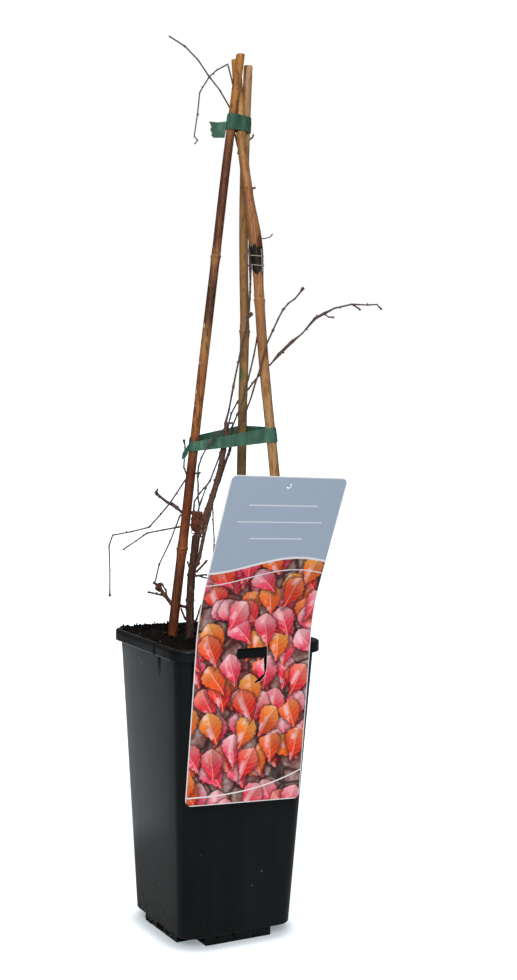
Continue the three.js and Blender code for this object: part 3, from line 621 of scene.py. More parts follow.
def make_cane(name, finish, stubs=()):
    """A cane as a fine skin: an uneven round section, ridged nodes and a hollow cut end."""
    cane = CANES[name]
    top = cane["route"][-1][2]
    ridges = [height for height, size, far in cane["nodes"] if far < 10]
    heights = list(np.arange(CANE_BASE, top - 1, 3.0)) + [top - 0.6, top]
    for ridge in ridges:
        heights += [ridge + d for d in (-2.6, -1.6, -1, -0.6, -0.2, 0.2, 0.6, 1, 1.6, 2.6)]
    heights = sorted(set(round(z, 3) for z in heights))
    shift = Vector(cane["route"][0]) * 0.1
    rings = []
    for z in heights:
        middle = cane_at(cane, z)
        radius = cane_radius(cane, z)
        for ridge in ridges:
            d = z - ridge
            radius += NODE_RIDGE * (math.exp(-((d / 0.55) ** 2)) - math.exp(-(((d - 1.6) / 0.7) ** 2)))
        if z == top:
            radius -= 0.35
        ring = []
        for s in range(CANE_SIDES):
            angle = s / CANE_SIDES * 2 * math.pi
            around = Vector((math.cos(angle), math.sin(angle), z * 0.012))
            r = radius * (1 + 0.05 * noise.noise(around * 1.3 + shift))
            for (low, low_turn), (high, high_turn), depth in cane["creases"]:
                share = (z - low) / (high - low)
                turn = math.radians(low_turn + (high_turn - low_turn) * share) - PLANT_TURN
                off = math.remainder(angle - turn, 2 * math.pi) * radius
                fade = min(max(min(share, 1 - share) * 6, 0), 1)
                r -= depth * fade * math.exp(-((off / 0.75) ** 2))
            ring.append(middle + np.array((r * math.cos(angle), r * math.sin(angle), 0)))
        rings.append(np.array(ring) * MM)
    cut = rings[-1]
    middle = cut.mean(0)
    for share, drop in ((0.55, 0), (0.5, 0.4), (0.46, 3)):
        rings.append(middle + (cut - middle) * share - (0, 0, drop * MM))
    made = piece(name + "_rod", [skin(rings), *stubs], finish, sharp=50)
    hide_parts(name)
    return made


def bamboo(name, stops, mottle, streak_colour, spots=(), scars=(), streaked=0.5):
    """Bamboo skin whose colour changes up the cane: stops are (height in mm, colour).

    A spot is round, with its place and radius, and a scar goes round the cane between two heights.
    """
    rod = Finish(name)
    rod.look("Specular IOR Level", 0.35)
    low, high = CANE_SEEN
    _, _, height = rod.split(rod.place)
    share = rod.over(height + (rod.noise(90, 4) - 0.5) * 0.03, low, high, way="LINEAR")
    colour = rod.ramp(share, [((z - low) / (high - low), tone) for z, tone in stops])
    blotch = rod.noise(1, 5, rod.stretched((420, 420, 95)), rough=0.6, distortion=0.6)
    colour = rod.mix(rod.between(blotch, 0.5, 0.62, 0, 0.8), colour, paint(*mottle))
    fibre = rod.noise(1, 3, rod.stretched((2600, 2600, 28)))
    colour = rod.mix(rod.between(fibre, 0.45, 0.75, 0, streaked), colour, paint(*streak_colour))
    for place, radius, spot in spots:
        off = rod.node("VectorMath", {0: rod.place, 1: at(*place) * MM}, operation="SUBTRACT")
        off = rod.node("VectorMath", {0: rod.stretched((1, 1, 0.45), off)}, "Value", operation="LENGTH")
        colour = rod.mix(rod.over(off + blotch * 0.002, radius * 1.7, radius), colour, paint(*spot))
    for bottom, top, scar in scars:
        frayed = rod.noise(1, 4, rod.stretched((600, 600, 120)))
        edge = frayed * 0.012 + (height - 0.006)
        scarred = rod.over(edge, bottom, bottom + 0.8) * rod.over(edge, top + 0.8, top)
        colour = rod.mix(scarred, colour, paint(*scar))
    rod.look("Base Color", colour)
    rod.look("Roughness", rod.between(blotch, 0.35, 0.7, 0.42, 0.65))
    rod.bump(fibre, 0.0002, 0.6)
    return rod


left_stops = [
    (200, (84, 30, 12)), (250, (78, 24, 8)), (262, (122, 64, 30)), (270, (130, 66, 26)), (292, (100, 40, 8)),
    (318, (80, 26, 5)), (345, (116, 62, 26)), (362, (160, 98, 48)), (385, (138, 76, 34)),
    (412, (158, 112, 64)), (430, (76, 42, 24)), (448, (52, 27, 16)), (466, (112, 72, 50)),
    (474, (156, 106, 66)), (484, (84, 42, 24)), (530, (78, 34, 18)), (552, (106, 60, 30)),
    (575, (154, 100, 40)), (612, (172, 110, 42)),
]
left_spots = [
    ((-14.4, 4.6, 398), 1.3, (222, 198, 168)), ((-11.6, 4, 424), 1.2, (214, 186, 152)),
    ((-16.2, 5.2, 378), 1.1, (214, 184, 148)), ((-13, 4.4, 410), 1, (222, 198, 168)),
    ((-17, 5.4, 368), 1.2, (206, 172, 134)), ((-7.8, 3.2, 452), 1, (190, 152, 116)),
]
left_finish = bamboo("bamboo_left", left_stops, (62, 24, 8), (196, 136, 76), left_spots, streaked=0.32)
make_cane("cane_left", left_finish)

back_stops = [
    (200, (126, 94, 62)), (330, (104, 86, 54)), (365, (126, 96, 54)), (395, (148, 112, 68)),
    (425, (134, 92, 56)), (455, (138, 98, 56)), (500, (152, 112, 68)), (525, (134, 102, 62)),
    (550, (162, 130, 84)), (580, (152, 112, 74)), (612, (190, 144, 104)),
]
back_spots = [((17.6, 23.2, 405), 1.6, (120, 52, 30)), ((15, 24.4, 391), 2.6, (92, 96, 56))]
cut_shoot = stub_skin(at(19.6, 19.2, 432), at(0.8, -0.5, 0.55), 1.5, 3)
back_finish = bamboo("bamboo_back", back_stops, (96, 66, 34), (182, 144, 96), back_spots)
make_cane("cane_back", back_finish, [cut_shoot])

right_stops = [
    (200, (170, 118, 70)), (335, (166, 128, 84)), (385, (164, 126, 82)), (400, (154, 104, 60)),
    (425, (132, 90, 56)), (455, (164, 112, 70)), (478, (122, 75, 44)), (500, (140, 90, 50)),
    (512, (124, 72, 36)), (530, (148, 100, 56)), (550, (138, 98, 54)), (575, (178, 130, 76)),
    (592, (174, 118, 62)), (612, (172, 116, 62)),
]
right_spots = [((18.9, -4.6, 511), 1.2, (128, 46, 22)), ((26.5, -4.6, 482), 2.4, (92, 40, 20))]
right_scars = [(460, 478.6, (22, 9, 4))]
right_finish = bamboo("bamboo_right", right_stops, (120, 66, 30), (206, 156, 98), right_spots, right_scars)
make_cane("cane_right", right_finish)

# The vine: one plant, grown together from its root to its tips. A woody trunk rises from the
# compost to a pruned knuckle, from where thin shoots climb the canes or hang free, with swollen
# joints, small resting buds and curled tendrils.
STEM_SIDES = 10
BUD_SIDES = 8
KNUCKLE_SIDES = 26
KNUCKLE_RINGS = 19
THIN = 0.95
SLIM = 0.78
CURLS = 22
HAIRS = 12
HAIR = 0.2
KINKS = 12
BARE_FOOT = 212
RUBBED_BARE = 533
BARE_TIP = -60
# Places are (across, back, up) as the camera sees the plant, then a bud's size or a stem's radius.
KNOBS = [
    (-43.8, 15.8, 305.2, 1), (-41.6, 15.6, 303.2, 0.8), (-37, 13.6, 233, 1.1), (-40.5, 12.4, 237.5, 1.1),
    (-44.4, 11.5, 241.8, 0.8), (-48.2, 11.1, 235, 0.7), (-39, 11.2, 241, 0.7), (56.6, -2.1, 450, 0.7),
    (-66.2, 9.1, 266, 0.6), (-7.4, 0, 259.4, 0.7), (-7.4, 0.1, 249.6, 0.5),
]
STEMS = {
    "trunk": [
        (-19, 4, 150, 2.9), (-18.5, 3.5, 203, 3), (-18.7, 3, 231, 2.9), (-17.9, 3.5, 249, 2.8),
        (-16.3, 4, 263, 2.7), (-15, 5, 276, 3),
    ],
    "climb": [
        (-15.4, 4.6, 272, 2.4), (-11.3, 6, 285, 2.4), (-7, 6.5, 295, 2.3), (-3.8, 7, 305, 2.2),
        (-0.9, 7, 315, 2.1), (1.7, 6.5, 326, 2), (3.4, 6.4, 337, 1.9), (4.6, 7, 347, 1.6), (5, 8.5, 357, 1),
    ],
    "dark": [
        (-4.3, 7, 302, 1.2), (-3, 8, 306, 1.1), (0.6, 9.4, 315, 1), (4.2, 9.8, 327, 1),
        (7.7, 9, 337, 1), (9.4, 9, 347, 1.1),
    ],
    "second": [
        (-17, 4, 252, 1.5), (-14, 3, 257, 1.5), (-12.4, 3, 262, 1.4), (-10.4, 4, 273, 1.3),
        (-8.8, 4.4, 281, 1.4), (-6.2, 5.4, 291, 1.3), (-4.2, 6.5, 300, 1.2),
    ],
    "thin_left": [
        (-17.2, 4.6, 292, 0.8), (-16.6, 4.4, 301, 0.75), (-12.7, 4, 307, 0.75), (-9.2, 4, 311, 0.75),
        (-5.8, 4.2, 315.5, 1.2), (-3.1, 5, 323, 0.75), (-0.1, 5.6, 331, 0.75), (2.2, 6.4, 339, 0.75),
    ],
    "bud_twig": [(-6.2, 4.2, 315, 0.7), (-8, 3.6, 312, 0.6), (-10.2, 3, 306, 0.6), (-12.6, 3, 299, 0.9)],
    "pale": [
        (-14.4, 5, 290, 0.9), (-13, 4.4, 298, 0.8), (-14, 4, 303, 0.75), (-14, 4, 312, 0.75),
        (-14.6, 3.9, 319, 0.75), (-13.8, 2, 326, 0.75), (-11.4, -0.4, 333, 0.7), (-7.3, -1.8, 341, 0.7),
        (-1.4, -2.4, 348, 0.7), (3.4, -2.2, 352, 0.7), (6.6, 0.6, 355.8, 0.8), (9, 6, 356.5, 0.8),
    ],
    "hanging": [
        (-4.4, 6.8, 303, 0.7), (-3.4, 5.6, 293, 0.6), (-3.2, 4.4, 286, 0.6), (-2.2, 3.4, 274, 0.6),
        (-2.6, 2.4, 262, 0.55),
    ],
    "to_the_top": [
        (4.2, 7.4, 346, 1), (4.4, 8.6, 356, 1), (6.8, 10.4, 366, 0.9), (9.5, 12.5, 382, 1.3),
        (11.5, 14, 393, 0.8), (13.6, 15.4, 403, 0.9), (15, 15.6, 411, 1.2), (18.2, 14, 424, 0.85),
        (19.8, 11.4, 436, 0.85), (20, 8.5, 443, 1.4), (20.4, 5.6, 453, 0.9), (20.2, 3.8, 464, 1),
        (19.6, 3.6, 476, 1.1), (19.4, 5, 490, 0.9), (19.4, 5.5, 505, 0.8), (18.4, 5.2, 520, 0.8),
        (14.4, 5.6, 535, 0.8), (10, 7.8, 549, 0.8), (7.4, 9.4, 559, 0.75), (7.2, 9.4, 566, 0.75),
    ],
    "long_right": [
        (5, 8, 347, 0.9), (6.6, 14, 356, 0.8), (8.3, 23, 363, 0.8), (12.3, 33.5, 371, 0.8),
        (19.8, 33.5, 380, 0.8), (25, 25, 387, 0.75), (30.2, 15, 393, 0.75), (35.5, 9.5, 398, 0.75),
        (41.3, 7, 405, 1.2), (49.3, 5, 413, 1.15), (57, 3, 419.5, 0.7), (65.7, 1, 430, 1.05),
        (71.8, 0, 433.4, 1), (79.3, -1, 437.3, 0.8), (90.8, -3, 440, 0.9), (101.8, -5, 439.6, 0.65),
        (107.9, -6, 440, 0.6), (111.2, -6.4, 436.6, 0.75),
    ],
    "right_side_twig": [(71.8, 0, 433.4, 0.7), (75, -2, 431, 0.6), (78.6, -3, 430.8, 0.7)],
    "right_end_twig": [(90.8, -3, 440, 0.6), (94, -1, 438.4, 0.6), (97, 0.5, 436.4, 0.7)],
    "up_to_right_cane": [
        (5.6, 7, 347, 0.9), (9.7, 9.6, 355, 0.85), (12.9, 13, 363, 0.8), (15.6, 15.6, 370, 0.8),
        (17.6, 16.8, 378, 0.8), (19.8, 15, 387, 0.75), (21.4, 12.4, 394, 0.75), (23.6, 9.4, 404, 0.8),
        (25, 7.2, 412, 0.7), (26, 6, 419, 0.65),
    ],
    "short_right": [
        (8.6, 8.4, 346, 0.9), (12.6, 7.4, 352, 0.9), (16.7, 5.6, 360, 0.85), (19.2, 4, 366, 0.8),
        (22, 0.6, 374, 0.8), (25.1, -3.6, 385, 0.9), (28, -5, 394, 0.8), (32.5, -4.8, 412, 0.8),
        (36.6, -4.6, 421.2, 1.3), (40, -4.4, 429, 0.75), (43.3, -4, 435.6, 1.3), (47, -3.5, 440, 0.75),
        (51.2, -3, 443, 0.8), (54.2, -2.4, 446.6, 0.75), (57, -2, 450.6, 1.3),
    ],
    "top_twig": [
        (7.2, 9.3, 564.5, 0.75), (6.8, 9.4, 569.5, 0.75), (4.7, 9.8, 574, 0.75), (-2.8, 9.5, 586.5, 0.7),
        (-10.5, 10, 596, 1.05), (-18.5, 10.5, 607.5, 0.7), (-27.6, 11, 616.5, 1.05),
        (-38.6, 12, 623.4, 0.55),
    ],
    "broken_twig": [
        (7.2, 9.1, 568, 0.65), (7.8, 10, 580, 0.65), (5.8, 9.6, 592, 0.7), (2.4, 7.4, 604, 0.75),
        (-4.9, 4.4, 599.4, 0.6), (-10.3, 2.4, 594, 0.85), (-16.4, 1, 583.4, 0.6), (-17.8, 0, 568, 0.6),
        (-19.8, -1, 553, 0.55), (-17.2, -1, 550.6, 0.5), (-19.4, -1, 548, 0.5),
    ],
    "top_bud": [
        (12.4, 6.3, 541.5, 0.6), (10.2, 9, 543.5, 0.6), (10.6, 12.4, 546.5, 0.6), (13.4, 14.8, 550, 0.6),
        (17.6, 14, 553, 0.6), (20.4, 11, 555, 0.6), (20.8, 9.2, 556.3, 0.8),
    ],
    "side_bud": [(18.6, 4.4, 519, 0.7), (21, 3, 518.6, 0.7), (22.6, 2.4, 519.4, 0.9)],
    "tendril": [
        (19.5, 4.8, 488, 0.8), (24, 6.2, 484.6, 0.5), (29.4, 4.8, 484.8, 0.5), (33.2, 4, 485.6, 0.45),
        (35.2, 3.4, 487.6, 0.5),
    ],
    "left_high": [
        (-14.4, 4, 318, 0.8), (-13.6, 9, 321, 0.75), (-16.6, 14.4, 320, 0.75), (-23.8, 14.6, 315, 0.75),
        (-34, 11, 299, 1.25), (-41, 8.5, 290.4, 0.7), (-48.4, 6, 282, 0.75), (-60.4, 3, 279, 0.65),
        (-73.4, 0.5, 276.6, 0.65), (-75.8, -0.8, 269, 0.65), (-75, -1, 252, 0.6), (-75, 0, 236.5, 0.65),
        (-75, 0, 233.8, 1.2),
    ],
    "left_middle": [
        (-15, 6, 284, 1), (-16.6, 12.4, 284, 0.9), (-21.4, 15, 283, 0.85), (-28.4, 14.6, 281.6, 0.85),
        (-38.9, 12.6, 279.6, 0.75), (-50.1, 11, 277.3, 0.9), (-57.8, 10, 271.7, 0.65),
        (-66.8, 9, 265.6, 0.55),
    ],
    "left_low": [
        (-23.5, 14.6, 292.5, 0.85), (-27, 13.8, 290, 0.8), (-29.7, 12, 282.6, 0.7), (-33.9, 9.4, 271, 0.65),
        (-41, 6, 255.6, 1.1), (-43.4, 5, 244, 0.55),
    ],
    "left_spur": [
        (-15, 7, 290.5, 1), (-16.6, 12.6, 292, 1), (-20.8, 14.6, 292.6, 1), (-26.4, 14.6, 292.6, 0.95),
        (-29.6, 14.6, 295.6, 1.7), (-32.4, 14.8, 297.6, 1.3), (-36.4, 15, 299.2, 1),
        (-42.2, 15.6, 303.6, 0.95), (-44.6, 16, 305.8, 1.1), (-43, 16, 308.6, 0.5),
    ],
    "low_spur": [
        (-18.7, 4, 226, 1.2), (-21.4, 10.4, 225, 1.1), (-25.6, 16.2, 225, 1.1), (-32.7, 15.6, 226.6, 1.4),
        (-36.8, 13.6, 232.6, 1.8), (-40.5, 12.4, 237.5, 1.3), (-44.8, 11.4, 242.6, 0.85),
    ],
    "low_spur_tip": [(-37, 13.6, 232.4, 0.9), (-42.6, 12, 233.9, 0.75), (-48.9, 11, 235.3, 0.7)],
    "low_spur_twig": [(-36.4, 13.4, 231.7, 0.8), (-36, 12, 236, 0.65), (-39.1, 11, 241.2, 0.6)],
    "right_spur": [
        (-17, 3.6, 251, 1), (-14.2, 2.6, 251.6, 0.8), (-10.5, 1, 255.7, 0.75), (-7.4, 0, 259.4, 0.9),
    ],
    "right_prong": [
        (-17.4, 3, 248, 0.9), (-14.2, 2, 248.6, 0.8), (-10, 0.6, 249.4, 0.65), (-6.9, 0, 249.7, 0.65),
    ],
    "right_prong_low": [(-12.9, 1.4, 248.8, 0.65), (-10, -0.6, 248, 0.6), (-6.8, -2, 247.6, 0.6)],
    "soil_spur": [(-17.6, 3, 214, 1), (-13.8, -0.6, 218, 0.7), (-12, -3, 224.4, 0.65), (-10.6, -4, 229, 0.6)],
    "stub": [(-18.6, 3, 214.6, 1.2), (-22, 0.6, 218.4, 0.8), (-24.8, -0.6, 225.6, 0.75)],
    "snag": [(-17.6, 4, 253, 1), (-19.6, 3, 254.6, 0.8), (-20.8, 2.4, 258.6, 0.75)],
    "knob_twig": [
        (-21.8, 14.8, 316.8, 0.75), (-24.8, 14.6, 324, 0.7), (-24.4, 14, 333, 0.65), (-24, 13.4, 339, 0.65),
        (-24.9, 13, 343.6, 1.1),
    ],
}


def frames_along(places):
    """For each place on a line: the way it runs, and two directions square to that."""
    runs = np.gradient(places, axis=0)
    runs /= np.linalg.norm(runs, axis=1)[:, None]
    first = np.array((1, 0.3, 0.1))
    firsts = []
    for run in runs:
        first = first - run * (first @ run)
        first = first / np.linalg.norm(first)
        firsts.append(first)
    firsts = np.array(firsts)
    return runs, firsts, np.cross(runs, firsts)


def jointed(route, slim, bend=1.6, swell=1.18):
    """A stem's route made nearly straight between its points, and a little swollen at them."""
    made = [np.array(route[0], float)]
    for i in range(1, len(route) - 1):
        before, here, after = (np.array(p, float) for p in route[i - 1 : i + 2])
        plain = min(here[3], max(before[3], after[3]))
        for other in (before, after):
            reach = np.linalg.norm(other[:3] - here[:3])
            near = here + (other - here) * min(bend / reach, 0.3)
            near[3] = plain * slim if plain < THIN else plain
            if other is after:
                joint = here.copy()
                joint[3] = max(near[3] * swell, here[3] * slim)
                made.append(joint)
            made.append(near)
    made.append(np.array(route[-1], float))
    return made


def stem_skin(route, step=1.3, sides=STEM_SIDES, rough=0.08):
    """A stem along a route of (across, back, up, radius), with uneven bark."""
    places, shares = smooth_route([at(*p[:3]) for p in route], step)
    radii = np.interp(shares, range(len(route)), [p[3] for p in route])
    _, firsts, seconds = frames_along(places)
    rings = []
    for place, radius, first, second in zip(places, radii, firsts, seconds):
        ring = ring_round(place, first, second, radius, sides)
        uneven = [1 + rough * noise.fractal(Vector(p) * 0.55, 1, 2, 3) for p in ring]
        rings.append(np.array([place + (p - place) * share for p, share in zip(ring, uneven)]) * MM)
    for share, ahead in ((0.75, 0.35), (0.3, 0.55)):
        tip = rings[-1].mean(0)
        run = places[-1] - places[-2]
        run = run / np.linalg.norm(run)
        rings.append(places[-1] * MM + (rings[-1] - tip) * share + run * ahead * radii[-1] * MM)
    return skin(rings)


def bud_skin(place, lean, size):
    """A resting bud: a small pointed egg with its foot in the stem."""
    lean = lean / np.linalg.norm(lean)
    _, firsts, seconds = frames_along(np.array([place, place + lean]))
    rings = []
    for along, radius in ((-0.4, 0.55), (0.2, 0.8), (0.8, 0.95), (1.4, 0.75), (1.9, 0.4), (2.2, 0.08)):
        ring = ring_round(place + lean * along * size, firsts[0], seconds[0], radius * size, BUD_SIDES)
        rings.append(np.array(ring) * MM)
    return skin(rings)


def knuckle_skin(place, radii, seed):
    """A gnarled swelling where shoots were pruned year after year."""
    rings = []
    for i in range(KNUCKLE_RINGS):
        polar = (0.03 + 0.94 * i / (KNUCKLE_RINGS - 1)) * math.pi
        level = Vector((0, 0, -math.cos(polar)))
        ring = []
        for out in ring_round(level, Vector((1, 0, 0)), Vector((0, 1, 0)), math.sin(polar), KNUCKLE_SIDES):
            swell = 1 + 0.5 * noise.fractal(out * 1.7 + Vector((seed, 0, 0)), 0.8, 2.2, 4)
            ring.append(np.array(out) * radii * swell + place)
        rings.append(np.array(ring) * MM)
    return skin(rings)


def drift():
    """Any way at random."""
    return Vector((random.gauss(0, 1), random.gauss(0, 1), random.gauss(0, 1)))


def curl(place, radius, sweep, thickness, count=18):
    """The route of a curled tendril about a place: part of an uneven loop, facing any way."""
    first = Vector((random.gauss(0, 1), random.gauss(0, 0.6), random.gauss(0, 1))).normalized()
    second = first.cross(drift()).normalized()
    route = []
    for i in range(count + 1):
        angle = math.radians(sweep * i / count)
        reach = radius * (1 - 0.35 * i / count)
        point = Vector(place) + (first * math.cos(angle) + second * math.sin(angle)) * reach
        route.append((*point, thickness * (1 - 0.5 * i / count)))
    return route


bark = Finish("bark", 0.78)
age = bark.node("Attribute", {}, out="Fac", attribute_name="age")
rind = bark.noise(1, 5, bark.stretched((640, 640, 90)), rough=0.65)
flecks = bark.noise(520, 3)
ages_seen = [(0, (84, 70, 65)), (0.25, (88, 60, 48)), (0.6, (80, 45, 31)), (1, (60, 33, 24))]
colour = bark.ramp(age, ages_seen)
colour = bark.mix(bark.between(rind, 0.52, 0.7, 0, 0.6), colour, paint(140, 104, 80))
colour = bark.mix(bark.between(flecks, 0.56, 0.68, 0, 0.75), colour, paint(24, 12, 9))
red = bark.node("Attribute", {}, out="Fac", attribute_name="red")
colour = bark.mix(red, colour, bark.ramp(rind, [(0.35, (40, 15, 9)), (0.6, (124, 60, 40))]))
pale = bark.node("Attribute", {}, out="Fac", attribute_name="pale")
colour = bark.mix(pale, colour, paint(196, 176, 150))
bark.look("Base Color", colour)
bark.look("Specular IOR Level", 0.35)
bark.bump(bark.noise(1, 4, bark.stretched((1500, 1500, 300))), 0.0004)

random.seed(4)
stem_skins = []
tones_of_stem = {"age": [], "red": [], "pale": []}


def add_stem(made, age_value, red_value=0.0, pale_value=0.0):
    """One more skin for the vine, with how old, how red and how pale it is."""
    stem_skins.append(made)
    for tones, value in zip(tones_of_stem.values(), (age_value, red_value, pale_value)):
        tones.append(np.full(len(made[0]), value))


for name, plain_route in STEMS.items():
    woody = "spur" in name or "prong" in name or name == "stub"
    route = jointed(plain_route, 1 if woody else SLIM)
    thinnest = min(p[3] for p in route)
    add_stem(stem_skin(route), min(1, max(0, (thinnest - 0.5) / 1.9)), 0.25 if woody else 0)
    places, shares = smooth_route([at(*p[:3]) for p in route], 1.0)
    runs, firsts, seconds = frames_along(places)
    side = 1
    spacing = random.uniform(9, 15)
    travelled = spacing * 0.6
    for i in range(1, len(places) - 1):
        travelled += np.linalg.norm(places[i] - places[i - 1])
        bare = places[i][2] < BARE_FOOT or name == "to_the_top" and places[i][2] > RUBBED_BARE
        bare = bare or name == "left_high" and places[i][0] < BARE_TIP
        if travelled < spacing or bare:
            continue
        travelled = 0
        spacing = random.uniform(10, 19)
        radius = np.interp(shares[i], range(len(route)), [p[3] for p in route])
        turn = random.uniform(-0.6, 0.6) + (0 if side > 0 else math.pi)
        out = firsts[i] * math.cos(turn) + seconds[i] * math.sin(turn)
        side = -side
        size = 0.36 + 0.32 * min(radius, 1.6)
        add_stem(bud_skin(places[i] + out * radius * 0.7, out * 0.9 + runs[i] * 0.8, size), 0.15, 0.35)

knuckle = (-15.2, 5.6, 286.4)
# Each swelling has a place, its radii, a seed for its lumps, and how old and how red it is.
swellings = [
    (knuckle, (3.3, 3.2, 5.6), 1.0, 0.6, 0.7), ((-13.6, 5, 291), (2, 2, 2.4), 5.0, 0.6, 0.9),
    ((-16.8, 4.8, 291.6), (1.8, 1.8, 2.6), 3.0, 0.6, 0.8),
    ((-13.4, 4.8, 280), (2.4, 2.2, 3.2), 7.0, 0.8, 0.5),
    ((-41.6, 12.2, 238.4), (2.1, 1.7, 2.6), 2.0, 0.6, 0.6),
]
for place, radii, seed, age_value, red_value in swellings:
    add_stem(knuckle_skin(at(*place), radii, seed), age_value, red_value)


def add_curl(place, radius, sweep, thickness, age_value, red_value=0.0, pale_value=0.0):
    """One curled tendril for the vine, with the radius and the sweep of its loop drawn from ranges."""
    route = curl(place, random.uniform(*radius), random.uniform(*sweep), thickness)
    step, sides = (0.9, 7) if thickness > HAIR else (0.6, 5)
    add_stem(stem_skin(route, step, sides), age_value, red_value, pale_value)


for i in range(CURLS):
    shift = (random.uniform(-1.4, 1.6), random.uniform(-1.6, 0.4), random.uniform(-5.5, 6))
    place = [k + d for k, d in zip(knuckle, shift)]
    add_curl(place, (2.2, 4.2), (150, 330), 0.52, 0.1, 0.9)
for i in range(HAIRS):
    start = (-11.2 + 4.4 * i / (HAIRS - 1), 3.4, 281.5 + random.uniform(-2.4, 2.4))
    add_curl(start, (0.9, 2.2), (90, 250), HAIR, 0, pale_value=0.85)
for *place, size in KNOBS:
    for i in range(3):
        add_stem(bud_skin(at(*place), np.array(drift()), size), 0.2, 0.6)
for i in range(KINKS):
    place = (-41.6 + random.uniform(-2.2, 2.2), 12.2, 237.8 + random.uniform(-2.6, 2.8))
    add_curl(place, (1.2, 2.5), (140, 300), 0.5, 0.1, 0.7)

# Two pale dry tendrils are wound round the right cane, over a dark scar in its skin, and a third
# stands upright on it.
WINDING = 0.28
WINDING_HEIGHTS = (472.4, 466)
UPRIGHT_HEIGHTS = (460.6, 463, 466, 469, 472, 474.6, 476.8)
bound_cane = CANES["cane_right"]


def seen_place(place):
    """How far across and how far behind a place is, as the camera sees the plant."""
    across = place[0] * math.cos(PLANT_TURN) - place[1] * math.sin(PLANT_TURN)
    return across, place[0] * math.sin(PLANT_TURN) + place[1] * math.cos(PLANT_TURN)


def against_cane(z, angle, out=0.4):
    """A place on the bound cane's skin, as across, back and up."""
    across, back = seen_place(cane_at(bound_cane, z))
    reach = cane_radius(bound_cane, z) + out
    return across + reach * math.cos(angle), back + reach * math.sin(angle), z


windings = []
for z in WINDING_HEIGHTS:
    turns = [(z + 0.5 * math.sin(i / 7), i / 36 * 2 * math.pi) for i in range(38)]
    windings.append([(*against_cane(height, angle), WINDING) for height, angle in turns])
upright = [against_cane(z, -0.86 + 0.03 * math.sin(z), 0.7) for z in UPRIGHT_HEIGHTS]
windings.append([(*place, WINDING - 0.02) for place in upright])
for route in windings:
    add_stem(stem_skin(route, step=0.9, sides=8), 0, 0, 0.8)

vine = piece("vine_stems", stem_skins, bark, sharp=180)
for key, values in tones_of_stem.items():
    vine.data.attributes.new(key, "FLOAT", "POINT").data.foreach_set("value", np.concatenate(values))
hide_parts("vine")

# The tapes: thin green tying tape, pulled tight round the three canes at the top, with a torn tail
# to the left, and looped loosely round them at mid height. The film is creased and softly glossy.
TAPE = 0.45
TAPE_GAP = 0.2
TAPE_WIDTH = 10.4
TAPE_DIRECTIONS = 200
TAPE_ROWS = 12
TAPE_SPANS = 24
SCRAP_STRIPS = 14
TOP_LEVEL = 563
MIDDLE_LEVEL = 348.7


def band_skin(edges, level, wrinkle):
    """A band pulled round the canes. Its low and high edge are a function of how far across the cane
    is that holds it, and of whether it is the far side, and they run straight between the canes.
    """
    known = {}

    def circles(z):
        """Each cane's middle and the tape's reach from it at a height, as the camera sees them."""
        z = round(z, 1)
        if z not in known:
            reaches = [cane_radius(cane, z) + TAPE_GAP for cane in CANES.values()]
            known[z] = [(*seen_place(cane_at(c, z)), r) for c, r in zip(CANES.values(), reaches)]
        return known[z]

    def corner(z, out, angle, held, other, share):
        """Where the tape is at a height: against one cane, or a share of the way to another."""
        places = []
        for which in (held, other):
            across, back, reach = circles(z)[which]
            reach += out
            places.append(np.array((across + reach * math.cos(angle), back + reach * math.sin(angle))))
        return places[0] * (1 - share) + places[1] * share

    middle = circles(level)
    corners = []
    for i in range(TAPE_DIRECTIONS):
        angle = i / TAPE_DIRECTIONS * 2 * math.pi
        reaches = [a * math.cos(angle) + b * math.sin(angle) + r for a, b, r in middle]
        corners.append((angle, reaches.index(max(reaches))))
    line = []
    for (angle, held), (_, held_next) in zip(corners, corners[1:] + corners[:1]):
        line.append((angle, held, held, 0.0))
        if held_next != held:
            line += [(angle, held, held_next, i / TAPE_SPANS) for i in range(1, TAPE_SPANS)]
    sections = []
    for angle, held, other, share in line:
        far = 0.5 + 0.5 * math.sin(min(max(1.6 * math.sin(angle), -1), 1) * math.pi / 2)
        ends = [edges(middle[which][0], far) for which in (held, other)]
        low, high = (ends[0][k] * (1 - share) + ends[1][k] * share for k in (0, 1))
        inner, outer = [], []
        for row in range(TAPE_ROWS + 1):
            z = low + (high - low) * row / TAPE_ROWS
            x, y = corner(z, 0, angle, held, other, share)
            crease = wrinkle * noise.fractal(Vector((x * 0.5, y * 0.5, z * 0.16)), 1, 2, 3)
            crease = max(crease, -0.05) if share == 0 else crease
            for out, side in ((crease, inner), (crease + TAPE, outer)):
                side.append(at(*corner(z, out, angle, held, other, share), z))
        sections.append(np.array(inner[::-1] + outer) * MM)
    return skin(sections[::-1], looped=True)


def cut_sheet(loops, start, end, strips):
    """A flat sheet that fills its loops, cut into strips across the way from start to end."""
    flat = bmesh.new()
    for loop in loops:
        corners = [flat.verts.new((*place, 0)) for place in loop]
        for a, b in zip(corners, corners[1:] + corners[:1]):
            flat.edges.new((a, b))
    bmesh.ops.triangle_fill(flat, use_beauty=True, edges=flat.edges[:])
    start, way = Vector((*start, 0)), Vector((*end, 0)) - Vector((*start, 0))
    for i in range(1, strips):
        everything = flat.verts[:] + flat.edges[:] + flat.faces[:]
        place = start + way * i / strips
        bmesh.ops.bisect_plane(flat, geom=everything, plane_co=place, plane_no=way.normalized())
    return flat


